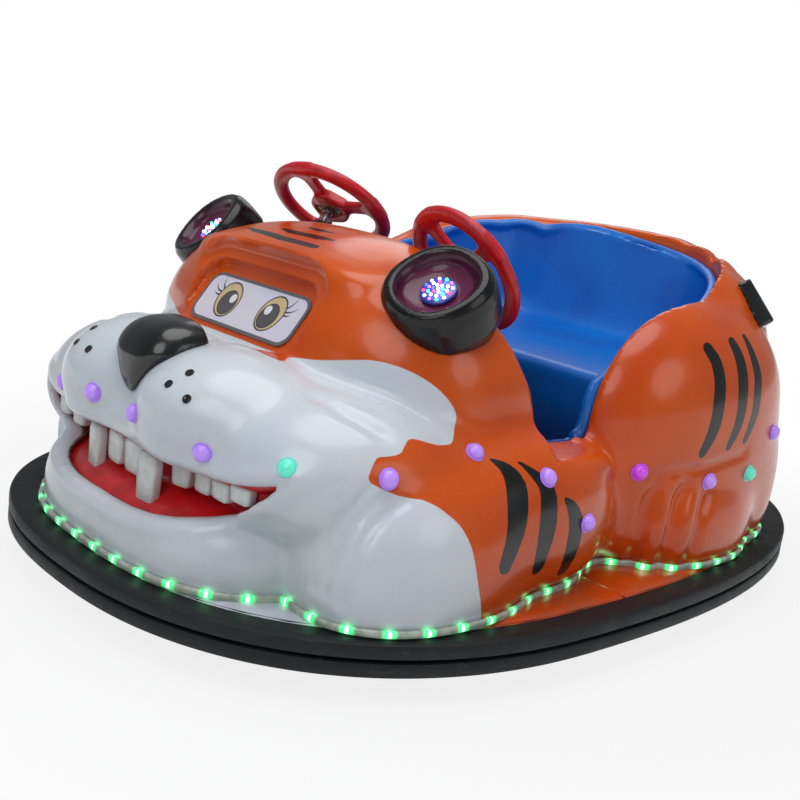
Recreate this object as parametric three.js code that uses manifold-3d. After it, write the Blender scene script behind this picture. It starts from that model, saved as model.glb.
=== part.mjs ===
import * as THREE from 'three';
import { mergeVertices } from 'three/addons/utils/BufferGeometryUtils.js';
import Module from 'manifold-3d';

// Children's two-seat bumper car with an animal body. Millimetres, +Z up, the face looks along -Y.

const wasm = await Module();
wasm.setup();

// Bumper ring
const bumperHalfWidth = 625;
const bumperFrontY = -895;
const bumperRearY = 895;
const bumperWidestY = -226;
const frontRoundness = 2.35;
const rearRoundness = 2.36;
const bumperWidth = 55;
const bumperBottomZ = 46;
const bumperTierHeight = 26;
const tierGroove = 4;
const bandThickness = 4;

// Body shell
const shellWall = 6;
const baseZ = 100.3;
const flangeThickness = 5;
const seamY = -100;
const stripHeight = 11;
const stripThickness = 8;
const headTopZ = 655;
const rumpTopZ = 690;
const haunchTopZ = 600;
const blobColumns = 18;
const blobRows = 9;

// Cockpit
const cockpitHalfWidth = 405;
const cockpitFrontY = -300;
const cockpitRearY = 520;
const cockpitFrontRoundness = 7;
const cockpitRearRoundness = 2.3;
const tubWall = 5;
const doorSillY = -188;
const doorSillZ = 312;
const doorTopY = -345;
const seatTopZ = 445;
const seatFrontY = 0;
const seatRearY = 450;
const tubFloorZ = 112;
const wheelRoomTopZ = 195;
const legRoomHalfWidth = 330;
const legRoomTopZ = 500;

// Chassis
const tubeSize = 30;
const railX = 200;
const railBottomZ = 62;
const floorThickness = 3;

// Front drive wheel, its fork and its bearing
const frontWheelY = -470;
const frontTyreRadius = 100;
const frontTyreWidth = 60;
const forkLegX = 46;
const forkLegThickness = 10;
const kingpinRadius = 14;
const kingpinTopZ = 300;
const bridgeBottomZ = 240;
const turningClearance = 0.06;
const wheelSides = 26;

// Rear wheels
const rearWheelY = 450;
const rearWheelX = 290;
const rearTyreRadius = 90;
const rearTyreWidth = 44;
const spindleRadius = 10;

// Steering wheels
const wheelOuterRadius = 132;
const rimTubeRadius = 13;
const spokeWidth = 24;
const columnRadius = 7.5;
const columnHoleRadius = 13.5;
const rightHub = [-200, -238, 677];
const rightAim = [-0.176, 0.58, 0.796];
const rightSpokes = [0, 135, 270];
const rightColumnLength = 290;
const leftHub = [203, -240, 616];
const leftAim = [0.035, 0.828, 0.559];
const leftSpokes = [236, 326, 101];
const leftColumnLength = 250;
const bearingRadius = 16;
const bearingLength = 50;
const bearingFromEnd = 10;

// Ears
const earCentre = [340, -440, 613];
const earAim = [0.11, -0.74, 0.65];
const earRadius = 92;
const earMouthRadius = 65;
const earDepth = 30;
const earBaseDepth = 100;
const earLightRadius = 32;

// Face
const panelCentre = [0, -557, 505];
const panelTilt = 36;
const panelWidth = 300;
const panelHeight = 102;
const panelThickness = 3;
const browMargin = 30;
const mouthHalfWidth = 372;
const mouthCornerZ = 318;
const mouthTopZ = 296;
const mouthBottomZ = 178;
const mouthDepth = 30;
const liningThickness = 4;
const toothSetBack = 17;
const gumHalfWidth = 285;
const fangX = 98;
const fangLength = 88;
const gap = 0.3;

// Tail end
const tailTipCentre = [385, 405, 575];
const tailTipAim = [0.62, 0.2, -0.76];
const tailTipRadius = 36;
const tailTipLength = 100;

const group = new THREE.Group();
group.name = 'bumper_car';

function toSolid(geometry) {
  const plain = geometry.clone();
  plain.deleteAttribute('normal');
  plain.deleteAttribute('uv');
  const merged = mergeVertices(plain, 1e-4);
  return new wasm.Manifold(new wasm.Mesh({
    numProp: 3,
    vertProperties: new Float32Array(merged.attributes.position.array),
    triVerts: new Uint32Array(merged.index.array),
  }));
}

function toGeometry(solid) {
  const mesh = solid.getMesh();
  const geometry = new THREE.BufferGeometry();
  geometry.setAttribute('position', new THREE.BufferAttribute(new Float32Array(mesh.vertProperties), 3));
  geometry.setIndex(new THREE.BufferAttribute(new Uint32Array(mesh.triVerts), 1));
  geometry.computeVertexNormals();
  return geometry;
}

function addPiece(name, geometry, colour, parent = group) {
  const mesh = new THREE.Mesh(geometry, new THREE.MeshStandardMaterial({ color: colour, roughness: 0.5 }));
  mesh.name = name;
  parent.add(mesh);
  return mesh;
}

function unionOf(solids) {
  return solids.reduce((sum, next) => sum.add(next));
}

function boxSolid(lowX, lowY, lowZ, highX, highY, highZ) {
  const box = new THREE.BoxGeometry(highX - lowX, highY - lowY, highZ - lowZ);
  box.translate((lowX + highX) / 2, (lowY + highY) / 2, (lowZ + highZ) / 2);
  return toSolid(box);
}

// A rod along X, Y or Z with its centre at the given point
function rodGeometry(radius, length, axis, centre, sides = 24) {
  const rod = new THREE.CylinderGeometry(radius, radius, length, sides);
  if (axis === 'x') {
    rod.rotateZ(Math.PI / 2);
  }
  if (axis === 'z') {
    rod.rotateX(Math.PI / 2);
  }
  rod.translate(...centre);
  return rod;
}

// Egg-like rounded form. A roundness of 2 is an ellipsoid; more is squarer.
function blobSolid(centre, radii, roundness, growth) {
  const ball = new THREE.SphereGeometry(1, blobColumns, blobRows);
  ball.rotateX(Math.PI / 2);
  const place = ball.attributes.position;
  for (let i = 0; i < place.count; i += 1) {
    const p = [place.getX(i), place.getY(i), place.getZ(i)];
    const size = p.reduce((sum, value) => sum + Math.abs(value) ** roundness, 0) ** (-1 / roundness);
    const [x, y, z] = p.map((value, k) => centre[k] + value * size * (radii[k] + growth));
    place.setXYZ(i, x, y, z);
  }
  return toSolid(ball);
}

// Corner radius of a many-sided bore whose flats clear a turning shaft
function boreRadius(shaftRadius, sides) {
  return (shaftRadius + turningClearance) / Math.cos(Math.PI / sides);
}

// Rounded forms whose union is the body: centre, half sizes, roundness
const middleHeadForms = [
  [[0, -330, 380], [430, 265, headTopZ - 380], 2.6],
  [[0, -600, 300], [250, 190, 150], 2.2],
  [[0, -560, 140], [350, 280, 120], 2.9],
  [[0, -60, 190], [470, 420, 112], 3.6],
];
const sideHeadForms = [
  [[128, -655, 352], [160, 165, 113], 2.1],
  [[262, -530, 302], [215, 235, 138], 2.2],
  [[395, -470, 160], [155, 215, 190], 2.3],
  [[395, -250, 230], [145, 245, 150], 2.4],
];
const middleRearForms = [
  [[0, 400, 330], [362, 385, rumpTopZ - 330], 3],
];
const sideRearForms = [
  [[370, 220, 350], [160, 300, haunchTopZ - 350], 2.3],
  [[435, 190, 165], [112, 215, 120], 2.2],
  [[275, 395, 220], [220, 220, 240], 2.3],
  [[312, 340, 515], [122, 172, 148], 2],
];
const tailForms = [
  [[90, 520, 636], [75, 56, 48], 2],
  [[185, 470, 640], [76, 56, 46], 2],
  [[275, 405, 628], [74, 56, 48], 2],
];

function bothSides(forms) {
  return forms.flatMap(([[x, y, z], radii, roundness]) => [
    [[x, y, z], radii, roundness],
    [[-x, y, z], radii, roundness],
  ]);
}

const bodyForms = [
  ...middleHeadForms, ...bothSides(sideHeadForms), ...middleRearForms, ...bothSides(sideRearForms), ...tailForms,
];

// Whole outer form of the body, grown or shrunk by the given amount
function bodyForm(growth) {
  return unionOf(bodyForms.map(([centre, radii, roundness]) => blobSolid(centre, radii, roundness, growth)));
}

// Foremost point of the body on a line along Y
function frontSurfaceY(x, z) {
  const reaches = bodyForms.map(([centre, radii, roundness]) => {
    const used = Math.abs((x - centre[0]) / radii[0]) ** roundness + Math.abs((z - centre[2]) / radii[2]) ** roundness;
    return used < 1 ? centre[1] - radii[1] * (1 - used) ** (1 / roundness) : 0;
  });
  return Math.min(...reaches);
}

// Closed outline: half a superellipse ahead of the widest line and half behind it
function roundedOutline(halfWidth, frontY, rearY, middleY, frontPower, rearPower, steps = 44) {
  const points = [];
  for (let i = 0; i < steps; i += 1) {
    const turn = (i / steps) * 2 * Math.PI;
    const across = Math.cos(turn);
    const along = Math.sin(turn);
    const power = along < 0 ? frontPower : rearPower;
    const reach = along < 0 ? middleY - frontY : rearY - middleY;
    const x = Math.sign(across) * halfWidth * Math.abs(across) ** (2 / power);
    const y = middleY + Math.sign(along) * reach * Math.abs(along) ** (2 / power);
    points.push(new THREE.Vector2(x, y));
  }
  return points;
}

function bumperOutline(inset) {
  return roundedOutline(bumperHalfWidth - inset, bumperFrontY + inset, bumperRearY - inset,
    bumperWidestY, frontRoundness, rearRoundness);
}

function cockpitOutline(inset) {
  return roundedOutline(cockpitHalfWidth - inset, cockpitFrontY + inset, cockpitRearY - inset,
    (cockpitFrontY + cockpitRearY) / 2, cockpitFrontRoundness, cockpitRearRoundness, 40);
}

function plateGeometry(outline, holes, lowZ, highZ, bevel = 0) {
  const shape = new THREE.Shape(outline);
  shape.holes = holes.map((hole) => new THREE.Path(hole));
  const plate = new THREE.ExtrudeGeometry(shape, {
    depth: highZ - lowZ - 2 * bevel,
    bevelEnabled: bevel > 0,
    bevelThickness: bevel,
    bevelSize: bevel,
    bevelOffset: -bevel,
    bevelSegments: 1,
    steps: 1,
    curveSegments: 12,
  });
  plate.translate(0, 0, lowZ + bevel);
  return plate;
}

function plateSolid(outline, holes, lowZ, highZ) {
  return toSolid(plateGeometry(outline, holes, lowZ, highZ));
}

// Bumper: two rubber tiers on a steel band
function addBumper() {
  const lowerTopZ = bumperBottomZ + bumperTierHeight;
  const upperBottomZ = lowerTopZ + tierGroove;
  const upperTopZ = upperBottomZ + bumperTierHeight;
  const outer = bumperOutline(0);
  const inner = bumperOutline(bumperWidth);
  addPiece('bumper_lower', plateGeometry(outer, [inner], bumperBottomZ, lowerTopZ, 5), 0x24262a);
  addPiece('bumper_upper', plateGeometry(outer, [inner], upperBottomZ, upperTopZ, 5), 0x24262a);
  const bandOuter = bumperOutline(bumperWidth + gap);
  const bandInner = bumperOutline(bumperWidth + gap + bandThickness);
  addPiece('bumper_band', plateGeometry(bandOuter, [bandInner], bumperBottomZ + 4, baseZ - gap), 0x3a3d42);
}

// Flat moulded ledge between the body and the bumper
function flangeSolid(form) {
  const plate = plateSolid(bumperOutline(bumperWidth + 1), [], baseZ, baseZ + flangeThickness);
  return plate.subtract(form);
}

function eyePlane(geometry) {
  geometry.rotateX(THREE.MathUtils.degToRad(90 - panelTilt));
  geometry.translate(...panelCentre);
  return geometry;
}

function roundedRectangle(width, height, radius) {
  const shape = new THREE.Shape();
  const x = width / 2;
  const y = height / 2;
  shape.moveTo(x - radius, -y);
  shape.absarc(x - radius, -y + radius, radius, -Math.PI / 2, 0);
  shape.absarc(x - radius, y - radius, radius, 0, Math.PI / 2);
  shape.absarc(-x + radius, y - radius, radius, Math.PI / 2, Math.PI);
  shape.absarc(-x + radius, -y + radius, radius, Math.PI, Math.PI * 1.5);
  return shape.getPoints(6).slice(0, -1);
}

// Deep recess under the brow, with its floor on the back of the eye panel
function browRecess(growth) {
  const outline = roundedRectangle(panelWidth + 2 * (browMargin + growth),
    panelHeight + 2 * (browMargin + growth), 45 + growth);
  return toSolid(eyePlane(plateGeometry(outline, [], -gap - growth, 200)));
}

// Smile outline as seen from in front, set back inwards by the given amount
function mouthPrism(inset) {
  const shape = new THREE.Shape();
  const corner = mouthHalfWidth - 2.4 * inset;
  const topZ = mouthTopZ - inset;
  const bottomZ = mouthBottomZ + inset;
  const cornerZ = mouthCornerZ - 0.6 * inset;
  shape.moveTo(-corner, cornerZ);
  shape.bezierCurveTo(-corner * 0.75, bottomZ - 15, -corner * 0.35, bottomZ, 0, bottomZ);
  shape.bezierCurveTo(corner * 0.35, bottomZ, corner * 0.75, bottomZ - 15, corner, cornerZ);
  shape.bezierCurveTo(corner * 0.6, topZ - 14, corner * 0.3, topZ - 4, 0, topZ);
  shape.bezierCurveTo(-corner * 0.3, topZ - 4, -corner * 0.6, topZ - 14, -corner, cornerZ);
  const prism = new THREE.ExtrudeGeometry(shape, { depth: 620, bevelEnabled: false, curveSegments: 6 });
  prism.rotateX(Math.PI / 2);
  prism.translate(0, -380, 0);
  return toSolid(prism);
}

function earPlace(side) {
  const holder = new THREE.Group();
  holder.name = side > 0 ? 'ear_place_left' : 'ear_place_right';
  const aim = new THREE.Vector3(side * earAim[0], earAim[1], earAim[2]).normalize();
  holder.quaternion.setFromUnitVectors(new THREE.Vector3(0, 1, 0), aim);
  holder.position.set(side * earCentre[0], earCentre[1], earCentre[2]);
  holder.updateMatrix();
  return holder;
}

// Thick-lipped cup about its own axis, with the mouth towards +Y and a base that meets the head
function earSolid(side) {
  const profile = [[0, -earBaseDepth], [earRadius - 8, -earBaseDepth], [earRadius + 3, -earBaseDepth + 30],
    [earRadius + 1, -22], [earRadius - 4, -3], [earRadius - 12, 5], [earMouthRadius + 8, 4], [earMouthRadius, -6],
    [earMouthRadius - 6, -earDepth + 13], [earMouthRadius - 20, -earDepth + 3],
    [earLightRadius + 4, -earDepth], [0, -earDepth]];
  const cup = new THREE.LatheGeometry(profile.map(([r, y]) => new THREE.Vector2(r, y)), 22);
  cup.applyMatrix4(earPlace(side).matrix);
  return toSolid(cup).subtract(bodyForm(gap));
}

function addEars() {
  for (const side of [1, -1]) {
    const word = side > 0 ? 'left' : 'right';
    addPiece(`ear_${word}`, toGeometry(largestBody(earSolid(side))), 0x0c0c0e);
    const lowY = gap - earDepth;
    const lamp = [[0, lowY], [earLightRadius, lowY], [earLightRadius, lowY + 8], [earLightRadius - 9, lowY + 14],
      [0, lowY + 18]];
    const holder = earPlace(side);
    group.add(holder);
    const lampShape = lamp.map(([r, y]) => new THREE.Vector2(r, y));
    addPiece(`ear_light_${word}`, new THREE.LatheGeometry(lampShape, 16), 0xc8d4e0, holder);
  }
}

const steeringSets = [
  { word: 'right', hub: rightHub, aim: rightAim, length: rightColumnLength, spokes: rightSpokes },
  { word: 'left', hub: leftHub, aim: leftAim, length: leftColumnLength, spokes: leftSpokes },
];

function steeringPlace(hub, aim) {
  const holder = new THREE.Group();
  holder.quaternion.setFromUnitVectors(new THREE.Vector3(0, 1, 0), new THREE.Vector3(...aim).normalize());
  holder.position.set(...hub);
  holder.updateMatrix();
  return holder;
}

// Space cut through the body for the people, and the same outline for the tub's walls
function cockpitCut(inset) {
  return plateSolid(cockpitOutline(inset), [], 90, 900);
}

// Holes in the hood where the steering columns come through
function columnHoles(radius) {
  return steeringSets.map(({ hub, aim, length }) => {
    const hole = new THREE.CylinderGeometry(radius, radius, 2 * length + 100, 20);
    hole.applyMatrix4(steeringPlace(hub, aim).matrix);
    return toSolid(hole);
  });
}

// Notch above each sill, behind the sloping rear edge of the head
function doorCut() {
  const shape = new THREE.Shape();
  shape.moveTo(doorSillY, doorSillZ);
  shape.quadraticCurveTo(doorSillY - 32, doorSillZ + 90, doorTopY + 55, headTopZ - 165);
  shape.lineTo(doorTopY, headTopZ - 85);
  shape.lineTo(doorTopY, 900);
  shape.lineTo(200, 900);
  shape.lineTo(-90, doorSillZ + 90);
  shape.lineTo(-90, doorSillZ);
  const sides = [1, -1].map((side) => {
    const prism = new THREE.ExtrudeGeometry(shape, { depth: 400, bevelEnabled: false, curveSegments: 6 });
    prism.rotateX(Math.PI / 2);
    prism.rotateZ(Math.PI / 2);
    prism.translate(side * (cockpitHalfWidth + 120) - 200, 0, 0);
    return toSolid(prism);
  });
  return unionOf(sides);
}

function addShells() {
  const outer = bodyForm(0);
  const inner = bodyForm(-shellWall);
  const recess = browRecess(0);
  const cavity = inner.subtract(browRecess(shellWall)).subtract(boxSolid(-900, -1200, -400, 900, 1200, 0));
  const skin = outer.subtract(recess).subtract(cavity);
  const ground = boxSolid(-900, -1200, -600, 900, 1200, baseZ);
  const bumperRoom = plateSolid(bumperOutline(-300), [bumperOutline(bumperWidth + 1)], 0,
    bumperBottomZ + 2 * bumperTierHeight + tierGroove + 1);
  const openForm = skin.add(flangeSolid(inner)).subtract(ground).subtract(bumperRoom);
  const body = openForm
    .subtract(cockpitCut(0))
    .subtract(doorCut())
    .subtract(mouthPrism(0).intersect(boxSolid(-900, -1200, 0, 900, -440, 900)))
    .subtract(unionOf(columnHoles(columnHoleRadius)));
  const ahead = boxSolid(-900, -1200, -100, 900, seamY, 1200);
  const behind = boxSolid(-900, seamY + gap, -100, 900, 1200, 1200);
  addPiece('head_shell', toGeometry(largestBody(body.intersect(ahead))), 0xd2601e);
  addPiece('rear_shell', toGeometry(largestBody(body.intersect(behind))), 0xd2601e);

  const footZ = baseZ + flangeThickness + gap;
  const slab = plateSolid(bumperOutline(bumperWidth + 2), [], footZ, footZ + stripHeight);
  const strip = bodyForm(gap + stripThickness).subtract(bodyForm(gap)).intersect(slab);
  addPiece('light_strip', toGeometry(largestBody(strip)), 0xbfe8c8);
}

function largestBody(solid) {
  const bodies = solid.decompose();
  return bodies.reduce((best, next) => (next.volume() > best.volume() ? next : best));
}

// Blue moulded tub: side walls that follow the body's surface, floor, seat and seat back
function addTub() {
  const form = bodyForm(0);
  const outline = cockpitOutline(gap);
  const inside = cockpitOutline(gap + tubWall);
  const wall = plateSolid(outline, [inside], tubFloorZ, 900).intersect(form);
  const floor = plateSolid(outline, [], tubFloorZ, tubFloorZ + tubWall);
  const seatBox = boxSolid(-600, seatFrontY, tubFloorZ, 600, 700, seatTopZ);
  const underSeat = boxSolid(-600, seatFrontY + tubWall, 0, 600, 700, seatTopZ - tubWall);
  const wheelRoom = boxSolid(-600, seatFrontY + tubWall, 0, 600, 700, wheelRoomTopZ);
  const seatHollow = plateSolid(inside, [], 0, seatTopZ - tubWall).intersect(underSeat).add(wheelRoom);
  const seat = plateSolid(outline, [], tubFloorZ, seatTopZ).intersect(seatBox).subtract(seatHollow);
  const backProfile = new THREE.Shape();
  backProfile.moveTo(seatRearY, seatTopZ - 1);
  backProfile.lineTo(700, seatTopZ - 1);
  backProfile.lineTo(700, 900);
  backProfile.lineTo(cockpitRearY + 10, 900);
  const wedge = new THREE.ExtrudeGeometry(backProfile, { depth: 1200, bevelEnabled: false });
  wedge.rotateX(Math.PI / 2);
  wedge.rotateZ(Math.PI / 2);
  wedge.translate(-600, 0, 0);
  const back = toSolid(wedge).intersect(plateSolid(outline, [], seatTopZ - 2, 900)).intersect(form);
  const legRoom = boxSolid(-legRoomHalfWidth, cockpitFrontY - 60, tubFloorZ + tubWall + 20,
    legRoomHalfWidth, cockpitFrontY + 80, legRoomTopZ);
  const tub = unionOf([wall, floor, seat, back])
    .subtract(legRoom)
    .subtract(doorCut())
    .subtract(seatHollow)
    .subtract(unionOf(columnHoles(columnHoleRadius + 8)));
  addPiece('seat_tub', toGeometry(largestBody(tub)), 0x1158b0);
}

function addFace() {
  const nose = unionOf([
    blobSolid([0, -715, 440], [82, 78, 62], 2.3, 0),
    blobSolid([0, -760, 400], [34, 38, 44], 2, 0),
  ]);
  const noseAlone = nose.subtract(bodyForm(gap)).subtract(boxSolid(-300, -640, 0, 300, 400, 900));
  addPiece('nose', toGeometry(largestBody(noseAlone)), 0x0b0b0d);

  const plate = plateGeometry(roundedRectangle(panelWidth, panelHeight, 26), [], 0, panelThickness);
  addPiece('eye_panel', eyePlane(plate), 0xd8d6ea);

  const tray = mouthPrism(gap).intersect(bodyForm(-3)).subtract(bodyForm(-mouthDepth - liningThickness))
    .subtract(mouthPrism(gap + liningThickness).subtract(bodyForm(-mouthDepth)))
    .intersect(boxSolid(-900, -1200, 0, 900, -440 - gap, 900));
  addPiece('mouth_lining', toGeometry(largestBody(tray)), 0xb01818);
}

// Top edge of the mouth at a distance from its middle
function mouthTopAt(x) {
  return mouthTopZ + (mouthCornerZ - mouthTopZ) * (Math.abs(x) / mouthHalfWidth) ** 3;
}

function toothSolid(x, width, height, tip) {
  const topZ = mouthTopAt(x) - 2;
  const y = frontSurfaceY(x, topZ - 30) + toothSetBack;
  const tooth = new THREE.CylinderGeometry(width / 2, tip / 2, height, 8);
  tooth.rotateX(Math.PI / 2);
  tooth.translate(x, y, topZ - height / 2);
  return toSolid(tooth);
}

// Upper row on its gum: four small teeth, a fang each side and the back teeth
function addTeeth() {
  const path = [];
  for (let k = -6; k <= 6; k += 1) {
    const x = (k / 6) * gumHalfWidth;
    const z = mouthTopAt(x) - 8;
    path.push(new THREE.Vector3(x, frontSurfaceY(x, z - 24) + toothSetBack, z));
  }
  const section = new THREE.Shape();
  section.absarc(0, 0, 11, 0, Math.PI * 2);
  const gum = new THREE.ExtrudeGeometry(section, {
    extrudePath: new THREE.CatmullRomCurve3(path), steps: 20, curveSegments: 4, bevelEnabled: false,
  });
  const row = [toSolid(gum)];
  for (const x of [-48, -16, 16, 48]) {
    row.push(toothSolid(x, 30, 38, 24));
  }
  for (const side of [1, -1]) {
    row.push(toothSolid(side * fangX, 36, fangLength, 9));
    for (let k = 0; k < 4; k += 1) {
      row.push(toothSolid(side * (150 + k * 36), 32, 42 - 4 * k, 20));
    }
  }
  const teeth = unionOf(row).intersect(mouthPrism(liningThickness + 2 * gap))
    .subtract(bodyForm(gap - mouthDepth));
  addPiece('teeth', toGeometry(largestBody(teeth)), 0xe8e6dc);
}

// Black end of the tail, on the left shoulder of the seat back
function addTailTip() {
  const along = new THREE.Vector3(...tailTipAim).normalize();
  const tip = new THREE.CylinderGeometry(tailTipRadius - 6, tailTipRadius, tailTipLength, 14, 1);
  const place = new THREE.Group();
  place.quaternion.setFromUnitVectors(new THREE.Vector3(0, 1, 0), along);
  place.position.set(...tailTipCentre);
  place.updateMatrix();
  tip.applyMatrix4(place.matrix);
  addPiece('tail_tip', toGeometry(largestBody(toSolid(tip).subtract(bodyForm(gap)))), 0x0b0b0d);
}

// Ladder frame of square tube, with the bridge that holds the kingpin
function addChassis() {
  const half = tubeSize / 2;
  const topZ = railBottomZ + tubeSize;
  const within = plateSolid(bumperOutline(bumperWidth + bandThickness + 2 * gap), [], 0, 900);
  const tubes = [];
  for (const side of [1, -1]) {
    tubes.push(boxSolid(side * railX - half, -1000, railBottomZ, side * railX + half, 1000, topZ));
    tubes.push(boxSolid(side * railX - half, frontWheelY - half, topZ - 5, side * railX + half,
      frontWheelY + half, bridgeBottomZ + 1));
  }
  for (const y of [-650, -250, 120, 640]) {
    tubes.push(boxSolid(-900, y - half, railBottomZ, 900, y + half, topZ));
  }
  tubes.push(boxSolid(-railX - half, frontWheelY - half, bridgeBottomZ, railX + half, frontWheelY + half,
    bridgeBottomZ + tubeSize));
  const seats = [];
  for (const { hub, aim, length } of steeringSets) {
    const place = steeringPlace(hub, aim).matrix;
    const middle = new THREE.Vector3(0, bearingFromEnd + bearingLength / 2 - length, 0).applyMatrix4(place);
    tubes.push(boxSolid(middle.x - half, middle.y - half, bridgeBottomZ + 1, middle.x + half, middle.y + half,
      middle.z + 10));
    tubes.push(boxSolid(middle.x - half, frontWheelY - half, bridgeBottomZ + 1, middle.x + half, middle.y + half,
      bridgeBottomZ + tubeSize));
    const block = new THREE.CylinderGeometry(bearingRadius + 7, bearingRadius + 7, bearingLength - 14, 20);
    block.translate(0, bearingFromEnd + bearingLength / 2 - length, 0);
    block.applyMatrix4(place);
    tubes.push(toSolid(block));
    const seat = new THREE.CylinderGeometry(bearingRadius + gap, bearingRadius + gap, 200, 24);
    seat.translate(0, bearingFromEnd + bearingLength / 2 - length, 0);
    seat.applyMatrix4(place);
    seats.push(toSolid(seat));
  }
  tubes.push(toSolid(rodGeometry(28, tubeSize + 20, 'z', [0, frontWheelY, bridgeBottomZ + half], 32)));
  const bore = toSolid(rodGeometry(boreRadius(kingpinRadius, 32), 200, 'z',
    [0, frontWheelY, bridgeBottomZ], 32));
  const frame = unionOf(tubes).intersect(within).subtract(bore).subtract(unionOf(seats));
  addPiece('chassis_frame', toGeometry(frame), 0x2c2e33);

  const floor = boxSolid(-railX - 120, -230, topZ + gap, railX + 120, 350, topZ + gap + floorThickness);
  addPiece('floor_pan', toGeometry(floor.intersect(within)), 0x5a5d62);
}

function tyreProfile(radius, width, inner) {
  const half = width / 2;
  return [[inner, -half + 6], [radius - 12, -half], [radius - 3, -half + 7], [radius, -half + 15],
    [radius, half - 15], [radius - 3, half - 7], [radius - 12, half], [inner, half - 6], [inner, -half + 6]];
}

function hubProfile(radius, width, bore) {
  const half = width / 2;
  return [[bore, -half], [radius * 0.5, -half], [radius * 0.55, -half + 5], [radius - 6, -half + 7],
    [radius, -half + 8], [radius, half - 8], [radius - 6, half - 7], [radius * 0.55, half - 5],
    [radius * 0.5, half], [bore, half], [bore, -half]];
}

function turned(profile, sides = wheelSides) {
  const lathe = new THREE.LatheGeometry(profile.map(([r, y]) => new THREE.Vector2(r, y)), sides);
  lathe.rotateZ(Math.PI / 2);
  return lathe;
}

function addFrontWheel() {
  const centre = [0, frontWheelY, frontTyreRadius];
  const hubRadius = frontTyreRadius - 32;
  const holder = new THREE.Group();
  holder.name = 'front_wheel_place';
  holder.position.set(...centre);
  group.add(holder);
  addPiece('front_tyre', turned(tyreProfile(frontTyreRadius, frontTyreWidth, hubRadius + gap)), 0x1b1c1e, holder);
  addPiece('front_hub_motor', turned(hubProfile(hubRadius, 66, boreRadius(spindleRadius, wheelSides))), 0x8b8f94,
    holder);

  const crownZ = frontTyreRadius * 2 + 10;
  const legs = [1, -1].map((side) => boxSolid(side * forkLegX - forkLegThickness / 2, frontWheelY - 20,
    frontTyreRadius - 24, side * forkLegX + forkLegThickness / 2, frontWheelY + 20, crownZ + 10));
  const crown = boxSolid(-forkLegX - forkLegThickness / 2, frontWheelY - 20, crownZ,
    forkLegX + forkLegThickness / 2, frontWheelY + 20, crownZ + 12);
  const kingpin = toSolid(rodGeometry(kingpinRadius, kingpinTopZ - crownZ - 5, 'z',
    [0, frontWheelY, (kingpinTopZ + crownZ + 5) / 2], 32));
  const axle = toSolid(rodGeometry(spindleRadius, 2 * (forkLegX + 14), 'x', centre));
  addPiece('front_fork', toGeometry(unionOf([...legs, crown, kingpin, axle])), 0x55585d);
}

function addRearWheels() {
  const half = tubeSize / 2;
  const beamEnd = rearWheelX - rearTyreWidth / 2 - 14;
  const topZ = railBottomZ - gap;
  const beam = boxSolid(-beamEnd, rearWheelY - half, rearTyreRadius - half, beamEnd, rearWheelY + half,
    rearTyreRadius + half);
  const clearRails = [1, -1].map((side) => boxSolid(side * railX - half - gap, rearWheelY - 60, topZ,
    side * railX + half + gap, rearWheelY + 60, railBottomZ + tubeSize + gap));
  const spindle = toSolid(rodGeometry(spindleRadius, 2 * (rearWheelX + rearTyreWidth / 2 + 8), 'x',
    [0, rearWheelY, rearTyreRadius]));
  const hangers = [1, -1].map((side) => boxSolid(side * railX - half - 12, rearWheelY - half,
    railBottomZ - 12, side * railX + half + 12, rearWheelY + half, railBottomZ + tubeSize + 12));
  const axle = unionOf([beam, spindle, ...hangers]).subtract(unionOf(clearRails));
  addPiece('rear_axle', toGeometry(axle), 0x55585d);
  for (const side of [1, -1]) {
    const word = side > 0 ? 'left' : 'right';
    const holder = new THREE.Group();
    holder.name = `rear_wheel_place_${word}`;
    holder.position.set(side * rearWheelX, rearWheelY, rearTyreRadius);
    group.add(holder);
    const hubRadius = rearTyreRadius - 30;
    addPiece(`rear_tyre_${word}`, turned(tyreProfile(rearTyreRadius, rearTyreWidth, hubRadius + gap)), 0x1b1c1e,
      holder);
    addPiece(`rear_rim_${word}`, turned(hubProfile(hubRadius, rearTyreWidth + 4,
      boreRadius(spindleRadius, wheelSides))), 0x8b8f94, holder);
  }
}

// Steering wheel with its spokes and hub, turned about its own Y
function steeringWheelSolid(spokes) {
  const centreRadius = wheelOuterRadius - rimTubeRadius;
  const rim = new THREE.TorusGeometry(centreRadius, rimTubeRadius, 8, 30);
  rim.rotateX(Math.PI / 2);
  const parts = [toSolid(rim)];
  for (const angle of spokes) {
    const spoke = new THREE.BoxGeometry(centreRadius, 10, spokeWidth);
    spoke.translate(centreRadius / 2, 0, 0);
    spoke.rotateY(THREE.MathUtils.degToRad(angle));
    parts.push(toSolid(spoke));
  }
  parts.push(toSolid(new THREE.CylinderGeometry(36, 42, 22, 24)));
  return unionOf(parts);
}

function addSteering() {
  for (const { word, hub, aim, length, spokes } of steeringSets) {
    const holder = steeringPlace(hub, aim);
    holder.name = `steering_place_${word}`;
    group.add(holder);
    const socket = new THREE.CylinderGeometry(columnRadius + gap, columnRadius + gap, 40, 24);
    socket.translate(0, -18, 0);
    addPiece(`steering_wheel_${word}`, toGeometry(steeringWheelSolid(spokes).subtract(toSolid(socket))), 0xb01424,
      holder);
    const column = new THREE.CylinderGeometry(columnRadius, columnRadius, length, 24);
    column.translate(0, 1 - length / 2, 0);
    addPiece(`steering_column_${word}`, column, 0xa9adb2, holder);
    const bore = boreRadius(columnRadius, 24);
    const lowY = bearingFromEnd - length;
    const sleeve = [[bore, lowY], [bearingRadius, lowY], [bearingRadius, lowY + bearingLength],
      [bore, lowY + bearingLength], [bore, lowY]];
    const bearing = new THREE.LatheGeometry(sleeve.map(([r, y]) => new THREE.Vector2(r, y)), 24);
    addPiece(`column_bearing_${word}`, bearing, 0x2c2e33, holder);
  }
}

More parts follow.
